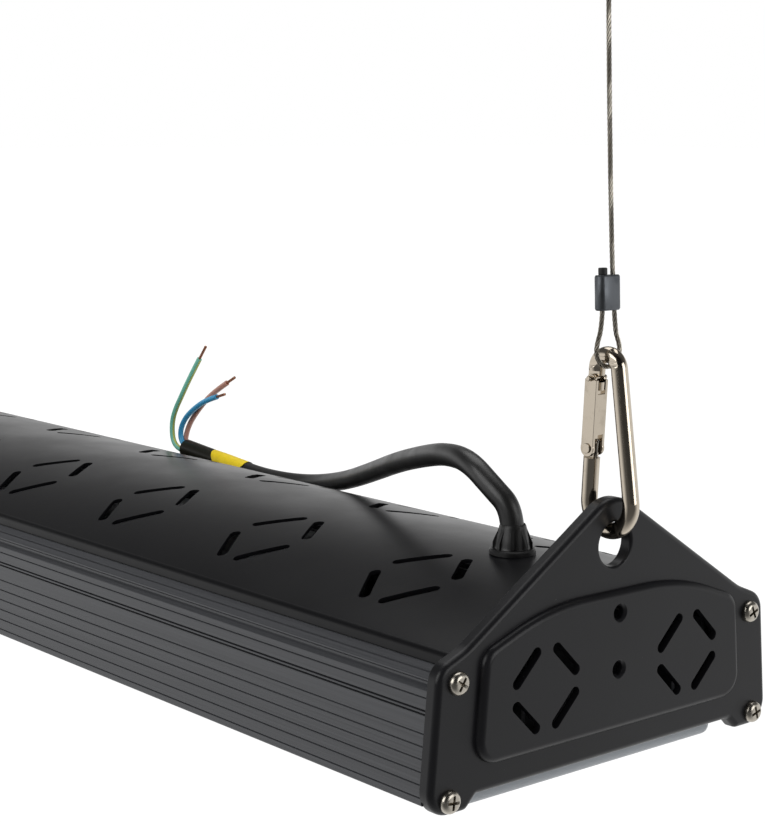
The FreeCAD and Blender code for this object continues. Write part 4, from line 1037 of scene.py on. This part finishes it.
# --- mains cable
@dataclass
class MainsCable:
    """Rubber cable from its entry, its taped end and the three cores with bare copper."""

    entry_mm: Point = (274.0, 0.0, -314.965)
    sheath_mm: float = 9.0
    core_mm: float = 2.8
    filament_mm: float = 0.5
    filaments: int = 6
    filament_turns: float = 0.9
    filament_steps: int = 14
    filament_in_mm: float = 1.0
    tape_mm: float = 51.0
    tape_over_mm: float = 20.0
    tape_r_mm: float = 5.0
    tape_end_r_mm: float = 4.8
    tape_narrow_from_mm: float = 16.0
    tape_narrow_mm: float = 13.0
    tape_rings: int = 120
    cable_points: tuple[Point, ...] = (
        (0.0, 0.0, 49.0), (0.0, 0.0, 60.5), (-9.0, -2.5, 68.5), (-21.5, -2.6, 76.6), (-41.0, 4.2, 76.0),
        (-64.0, 13.5, 71.2), (-103.0, 32.5, 61.2), (-147.0, 54.5, 48.0), (-187.0, 72.8, 36.3),
        (-222.0, 84.0, 28.2), (-246.0, 86.0, 25.2), (-268.0, 85.6, 24.6), (-285.0, 84.6, 26.0),
        (-303.0, 83.6, 28.0))
    earth_points: tuple[Point, ...] = (
        (-333.76, 79.7, 30.5), (-338.0, 79.5, 31.0), (-342.4, 79.3, 34.4), (-343.2, 79.1, 40.4),
        (-341.8, 78.7, 46.6), (-338.2, 78.4, 52.8), (-333.1, 78.2, 59.2), (-325.3, 78.5, 70.2),
        (-317.6, 79.6, 81.1))
    neutral_points: tuple[Point, ...] = (
        (-333.6, 81.9, 33.0), (-336.8, 81.7, 33.4), (-338.9, 81.6, 36.9), (-338.0, 81.3, 41.6),
        (-334.8, 81.0, 46.0), (-330.0, 80.6, 50.2), (-321.8, 80.1, 55.2), (-312.4, 80.0, 59.8),
        (-303.3, 80.4, 62.6))
    live_points: tuple[Point, ...] = (
        (-334.0, 84.1, 30.5), (-336.7, 84.0, 30.8), (-338.4, 84.2, 34.2), (-337.0, 84.4, 39.6),
        (-333.6, 84.2, 44.8), (-329.0, 83.9, 49.4), (-322.0, 83.3, 55.2), (-311.0, 82.9, 63.4),
        (-298.5, 83.4, 70.1))

    def build(self) -> None:
        body = Body.HOUSING.at()
        dress("strain_relief", RELIEF_PA, body, soft_mm=0.2, angle=30)
        dress("relief_nut", RELIEF_PA, body, soft_mm=0.3)
        route = Route("mains_cable_sheath", self.cable_points, self.entry_mm)
        path = route.path()
        cable = route.curve()
        cable.data.bevel_depth = self.sheath_mm / 2 * MM
        cable.data.bevel_resolution = 8
        cable.data.use_fill_caps = True
        finish_piece(cable, SHEATH, body, ("mains_cable",))
        tape = self.tape(path)
        finish_piece(tape, TAPE, body, ("cable_tape",))
        cores, copper = [], []
        for name, points, finish, bare in (("earth", self.earth_points, EARTH, 8.5),
                                           ("neutral", self.neutral_points, NEUTRAL, 7.0),
                                           ("live", self.live_points, LIVE, 7.5)):
            core_route = Route(f"core_{name}", points, self.entry_mm)
            line = core_route.path()
            sweep = Sweep(core_route.name)
            sweep.tube(line, [self.core_mm / 2 * MM] * len(line), 20)
            tube = sweep.piece()
            finish_piece(tube, finish, body, (f"wire_{name}",))
            copper.append(self.bare_end(name, line, bare))
            cores.append((tube, line))
        strands = joined(copper)
        strands.name = "copper_strands"
        finish_piece(strands, COPPER, body, ("strand_ends",))

    def tape(self, path: list[Vector]) -> Piece:
        """Wind the tape over the end of the sheath and the cores beyond it.

        Args:
            path: Line of the cable; not used.

        Returns:
            The tape.
        """
        controls = Route("end", self.cable_points[-2:], self.entry_mm).controls()
        along = (controls[1] - controls[0]).normalized()
        start = controls[1] - along * self.tape_over_mm * MM
        sweep = Sweep("hazard_tape")
        line, radii = [], []
        for index in range(self.tape_rings + 1):
            run = self.tape_mm * index / self.tape_rings
            line.append(start + along * (run * MM))
            narrow = min(max((run - self.tape_narrow_from_mm) / self.tape_narrow_mm, 0.0), 1.0)
            narrow = narrow * narrow * (3 - 2 * narrow)
            radii.append((self.tape_r_mm + (self.tape_end_r_mm - self.tape_r_mm) * narrow) * MM)
        sweep.tube(line, radii, 40)
        return sweep.piece()

    def bare_end(self, name: str, line: list[Vector], bare_mm: float) -> Piece:
        """Lay the twisted filaments that stand out of a core.

        Args:
            name: Name of the core.
            line: Line of the core.
            bare_mm: Length of the bare copper.

        Returns:
            The bundle of filaments.
        """
        along = (line[-1] - line[-2]).normalized()
        steps, hidden = self.filament_steps, self.filament_in_mm
        spine = [line[-1] + along * (((bare_mm + hidden) * index / steps - hidden) * MM)
                 for index in range(steps + 1)]
        sweep = Sweep(f"copper_{name}")
        thick = self.filament_mm / 2 * MM
        sweep.tube(spine, [thick] * len(spine), 8)
        turns = [self.filament_turns * index / steps for index in range(steps + 1)]
        sweep.twist(spine, turns, self.filaments, 2 * thick, thick, 8)
        return sweep.piece()


# --- suspension
@dataclass
class Suspension:
    """Ceiling eyes, wire ropes with their ferrules, and snap hooks."""

    lug_mm: Point = (323.25, 0.0, -254.065)
    lean_degrees: float = 2.587147
    bow_up_mm: float = 62.4
    rope_mm: float = 1.8
    rope_span_mm: float = 168.0
    span_play_mm: float = 0.5
    lay_mm: float = 11.0
    strands: int = 6
    strand_off: float = 2.15
    strand_thick: float = 0.86
    step_mm: float = 0.8
    loop_mm: tuple[tuple[float, float], ...] = (
        (-2.2, 11.2), (-6.83, 1.37), (-3.3, -4.2), (3.3, -4.2), (6.83, 1.37), (2.2, 11.2))
    stub_mm: float = 29.4
    leg_mm: float = 2.2
    sleeve_from_mm: float = 15.6
    sleeve_mm: float = 12.3
    sleeve_lobe_mm: float = 2.5
    sleeve_apart_mm: float = 2.8

    def build(self) -> None:
        """Build both hanging lines."""
        for end, way in zip(ENDS, (1, -1)):
            hook = Body.HOOK.at(end)
            dress(f"snap_hook_{end}", NICKEL, hook, soft_mm=0.12, angle=40)
            dress(f"hinge_rivet_{end}", NICKEL, hook, soft_mm=0.15)
            dress(f"gate_spring_{end}", SPRING_STEEL, hook, angle=60)
            gate = Body.GATE.at(end)
            dress(f"gate_{end}", NICKEL, gate, soft_mm=0.18, angle=40)
            dress(f"latch_pin_{end}", NICKEL, gate, soft_mm=0.25)
            self.rope(end, way)
            dress(f"ceiling_eye_{end}", ZINC_STEEL, Body.CEILING.at(), soft_mm=0.2, angle=40)

    def line(self, way: int) -> tuple[Vector, Vector, Vector]:
        """Find the leaning line on which a hook and its rope hang.

        Args:
            way: 1 for the +X end and -1 for the other.

        Returns:
            The hook's pivot in millimetres, the direction up the line and the one square to its plane.
        """
        lean = radians(self.lean_degrees)
        pivot = Vector((way * self.lug_mm[0], self.lug_mm[1], self.lug_mm[2]))
        return pivot, Vector((-way * sin(lean), 0, cos(lean))), Vector((cos(lean), 0, way * sin(lean)))

    def rope_route(self, end: str, way: int) -> Route:
        """Line of one wire rope.

        Args:
            end: Letter of the end.
            way: 1 for the +X end and -1 for the other.

        Returns:
            The route.
        """
        top = self.rope_span_mm - self.span_play_mm
        flat = [(-self.leg_mm, self.stub_mm), *self.loop_mm]
        flat += [(-across, top - along) for across, along in self.loop_mm]
        flat.append((-self.leg_mm, top - self.stub_mm))
        base, along, _ = self.line(way)
        points = [Vector((0, across, 0)) + along * (self.bow_up_mm + up) for across, up in flat]
        return Route(f"wire_rope_strands_{end}", tuple(points), base)

    def rope(self, end: str, way: int) -> None:
        """Lay the strands of one rope and dress its ferrules and caps.

        Args:
            end: Letter of the end.
            way: 1 for the +X end and -1 for the other.
        """
        body = Body.ROPE.at(end)
        route = self.rope_route(end, way)
        path = self.even(route.path(), self.step_mm * MM)
        thick = self.rope_mm / 6 * MM
        sweep = Sweep(route.name)
        sweep.tube(path, [thick] * len(path), 6)
        turns = [run / (self.lay_mm * MM) for run in reaches(path)]
        sweep.twist(path, turns, self.strands, self.strand_off * thick, self.strand_thick * thick, 7)
        strands = sweep.piece()
        finish_piece(strands, ROPE_STEEL, body, (f"wire_rope_{end}",))
        fittings = [dress(f"rope_caps_{end}", CAP_RUBBER, body, soft_mm=0.3, angle=40)]
        top = self.rope_span_mm - self.span_play_mm - self.sleeve_from_mm - self.sleeve_mm
        for place, start in (("low", self.sleeve_from_mm), ("top", top)):
            sleeve = self.sleeve(f"pressed_sleeve_{place}_{end}", start, way)
            finish_piece(sleeve, FERRULE_ALU, body, (f"ferrule_{place}_{end}",))
            fittings.append(sleeve)

    def sleeve(self, name: str, start: float, way: int) -> Piece:
        """Model one pressed sleeve: two lobes round the rope's legs with a seam between them.

        Args:
            name: Name of the piece.
            start: Where it begins above the pivot of the lower loop.
            way: 1 for the +X end and -1 for the other.

        Returns:
            The sleeve.
        """
        lobe, half = self.sleeve_lobe_mm, []
        for step in range(13):
            turn = radians(-78 + 13 * step)
            half.append((lobe * cos(turn) + self.sleeve_apart_mm, lobe * sin(turn)))
        profile = half + [(-across, thick) for across, thick in reversed(half)]
        base, along, aside = self.line(way)
        shape = bmesh.new()
        rings = []
        for share, scale in ((0, 0.9), (0.02, 0.96), (0.06, 1), (0.94, 1), (0.98, 0.96), (1, 0.9)):
            middle = base + along * (self.bow_up_mm + start + share * self.sleeve_mm)
            corners = [middle + Vector((0, across * scale, 0)) + aside * thick * scale
                       for across, thick in profile]
            rings.append([shape.verts.new(corner * MM) for corner in corners])
        skin(shape, rings)
        bmesh.ops.recalc_face_normals(shape, faces=shape.faces)
        return piece_of(name, shape, 40)

    @staticmethod
    def even(path: list[Vector], step: float) -> list[Vector]:
        """Space the points of a path evenly.

        Args:
            path: Points of the path.
            step: Distance wanted between points, in metres.

        Returns:
            The evenly spaced points, with both ends kept.
        """
        reach = reaches(path)
        count = max(2, round(reach[-1] / step))
        spaced, index = [path[0].copy()], 0
        for number in range(1, count):
            goal = reach[-1] * number / count
            while reach[index + 1] < goal:
                index += 1
            gap = path[index + 1] - path[index]
            spaced.append(path[index] + gap * ((goal - reach[index]) / gap.length))
        spaced.append(path[-1].copy())
        return spaced


# --- studio
@dataclass(frozen=True)
class Softbox:
    """A square lamp; its place and size are in metres and its power in watts."""

    name: str
    place: Point
    size: float
    power: float

    def hang(self, aim: Point) -> None:
        """Hang the lamp.

        Args:
            aim: Point that it faces.
        """
        data = bpy.data.lights.new(self.name, "AREA")
        data.shape = "SQUARE"
        data.size = self.size
        data.energy = self.power
        lamp = placed(self.name, data)
        lamp.location = self.place
        lamp.rotation_euler = (Vector(aim) - Vector(self.place)).to_track_quat("-Z", "Y").to_euler()


@dataclass
class Studio:
    """Floor, world, lamps and the camera at the photograph's angle."""

    camera_mm: Point = (779.3, -491.9, -112.4)
    camera_right: Point = (0.64580, 0.76350, 0.00397)
    camera_up: Point = (-0.11526, 0.09235, 0.98903)
    camera_ahead: Point = (-0.75476, 0.63918, -0.14764)
    sensor_mm: float = 36.0
    focal_px: float = 1923.0
    photo_height_px: float = 823.0
    floor_mm: float = -1300.0
    floor_size: float = 160.0
    floor_paint: str = "#e8e8e8"
    floor_white: float = 1.14
    floor_share: float = 0.86
    fill: float = 0.62
    white: str = "#ffffff"
    lamp_aim: Point = (0.2, 0.0, -0.3)
    softboxes: tuple[Softbox, ...] = (
        Softbox("left_box", (0.2, -1.6, 0.5), 1.2, 12.0), Softbox("front_box", (1.9, 0.5, 0.2), 1.0, 8.0),
        Softbox("top_box", (-0.2, 0.4, 1.3), 1.4, 11.0))

    def build(self) -> None:
        """Set up the studio."""
        self.camera()
        self.world()
        self.floor()
        for softbox in self.softboxes:
            softbox.hang(self.lamp_aim)
        bpy.context.scene.view_settings.view_transform = "Standard"

    def camera(self) -> None:
        """Place the camera."""
        data = bpy.data.cameras.new("camera")
        data.sensor_width = self.sensor_mm
        data.lens = self.focal_px / self.photo_height_px * self.sensor_mm
        data.clip_start = 0.01
        data.clip_end = 300.0
        made = placed("camera", data)
        turn = Matrix((self.camera_right, self.camera_up, -Vector(self.camera_ahead))).transposed().to_4x4()
        made.matrix_world = Matrix.Translation(Vector(self.camera_mm) * MM) @ turn
        bpy.context.scene.camera = made

    def dark_room(self, tree: Tree, way: Source) -> Source:
        """Dim what polished metal mirrors from the camera's side of the room.

        Args:
            tree: Node tree of the world or the floor.
            way: Direction from the origin, of length 1.

        Returns:
            Share of the light that is left, from 1 down to nearly 0.
        """
        facing = add_node(tree, "VectorMath", {
            0: way, 1: -Vector(self.camera_ahead)}, operation="DOT_PRODUCT")
        return add_node(tree, "MapRange", {
            "Value": facing, "From Min": 0.0, "From Max": 0.65, "To Min": 1.0, "To Max": 0.05})

    def world(self) -> None:
        """White behind the object, with a darker studio overhead in what polished metal shows."""
        world = bpy.data.worlds.new("studio")
        bpy.context.scene.world = world
        world.use_nodes = True
        tree = world.node_tree
        tree.nodes.clear()
        way = add_node(tree, "TexCoord").outputs["Generated"]
        parts = add_node(tree, "SeparateXYZ", {"Vector": way})
        height = add_node(tree, "MapRange", {
            "Value": parts.outputs["Z"], "From Min": 0.1, "From Max": 0.4, "To Min": 1.0, "To Max": 0.1})
        mirrored = add_node(tree, "Math", {0: height, 1: self.dark_room(tree, way)}, operation="MULTIPLY")
        seen = add_node(tree, "LightPath")
        shown = add_node(tree, "Math", {
            0: seen.outputs["Is Glossy Ray"], 1: seen.outputs["Is Transmission Ray"]}, operation="MAXIMUM")
        other = add_node(tree, "Mix", {"Factor": shown, "A": self.fill, "B": mirrored}, data_type="FLOAT")
        strength = add_node(tree, "Mix", {
            "Factor": seen.outputs["Is Camera Ray"], "A": other, "B": 1.0}, data_type="FLOAT")
        light = add_node(tree, "Background", {"Color": linear(self.white), "Strength": strength})
        add_node(tree, "OutputWorld", {"Surface": light})

    def floor(self) -> None:
        """Lay the pale floor well below the light; the camera sees it as white."""
        bpy.ops.object.select_all(action="DESELECT")
        bpy.ops.mesh.primitive_plane_add(size=self.floor_size, location=(0, 0, self.floor_mm * MM))
        plane = bpy.context.object
        plane.name = "floor"
        material, tree = blank_material("pale_floor")
        seen = add_node(tree, "LightPath")
        shown = add_node(tree, "Math", {
            0: seen.outputs["Is Camera Ray"], 1: seen.outputs["Is Glossy Ray"]}, operation="MAXIMUM")
        lit = add_node(tree, "BsdfDiffuse", {"Color": linear(self.floor_paint)})
        place = add_node(tree, "NewGeometry").outputs["Position"]
        way = add_node(tree, "VectorMath", {0: place}, operation="NORMALIZE").outputs["Vector"]
        mirrored = add_node(tree, "Mix", {
            "Factor": seen.outputs["Is Camera Ray"], "A": self.dark_room(tree, way), "B": self.floor_white},
            data_type="FLOAT")
        glow = add_node(tree, "Emission", {"Color": linear(self.white), "Strength": mirrored})
        blend = add_node(tree, "Math", {0: shown, 1: self.floor_share}, operation="MULTIPLY")
        mixed = add_node(tree, "MixShader", {0: blend, 1: lit, 2: glow})
        add_node(tree, "OutputMaterial", {"Surface": mixed})
        plane.data.materials.append(material)


def main() -> None:
    """Build the studio and every piece."""
    logging.basicConfig(level=logging.INFO, format="%(name)s %(message)s")
    Studio().build()
    Housing().build()
    LightChamber().build()
    DriverBay().build()
    MainsCable().build()
    Suspension().build()


if __name__ == "__main__":
    main()
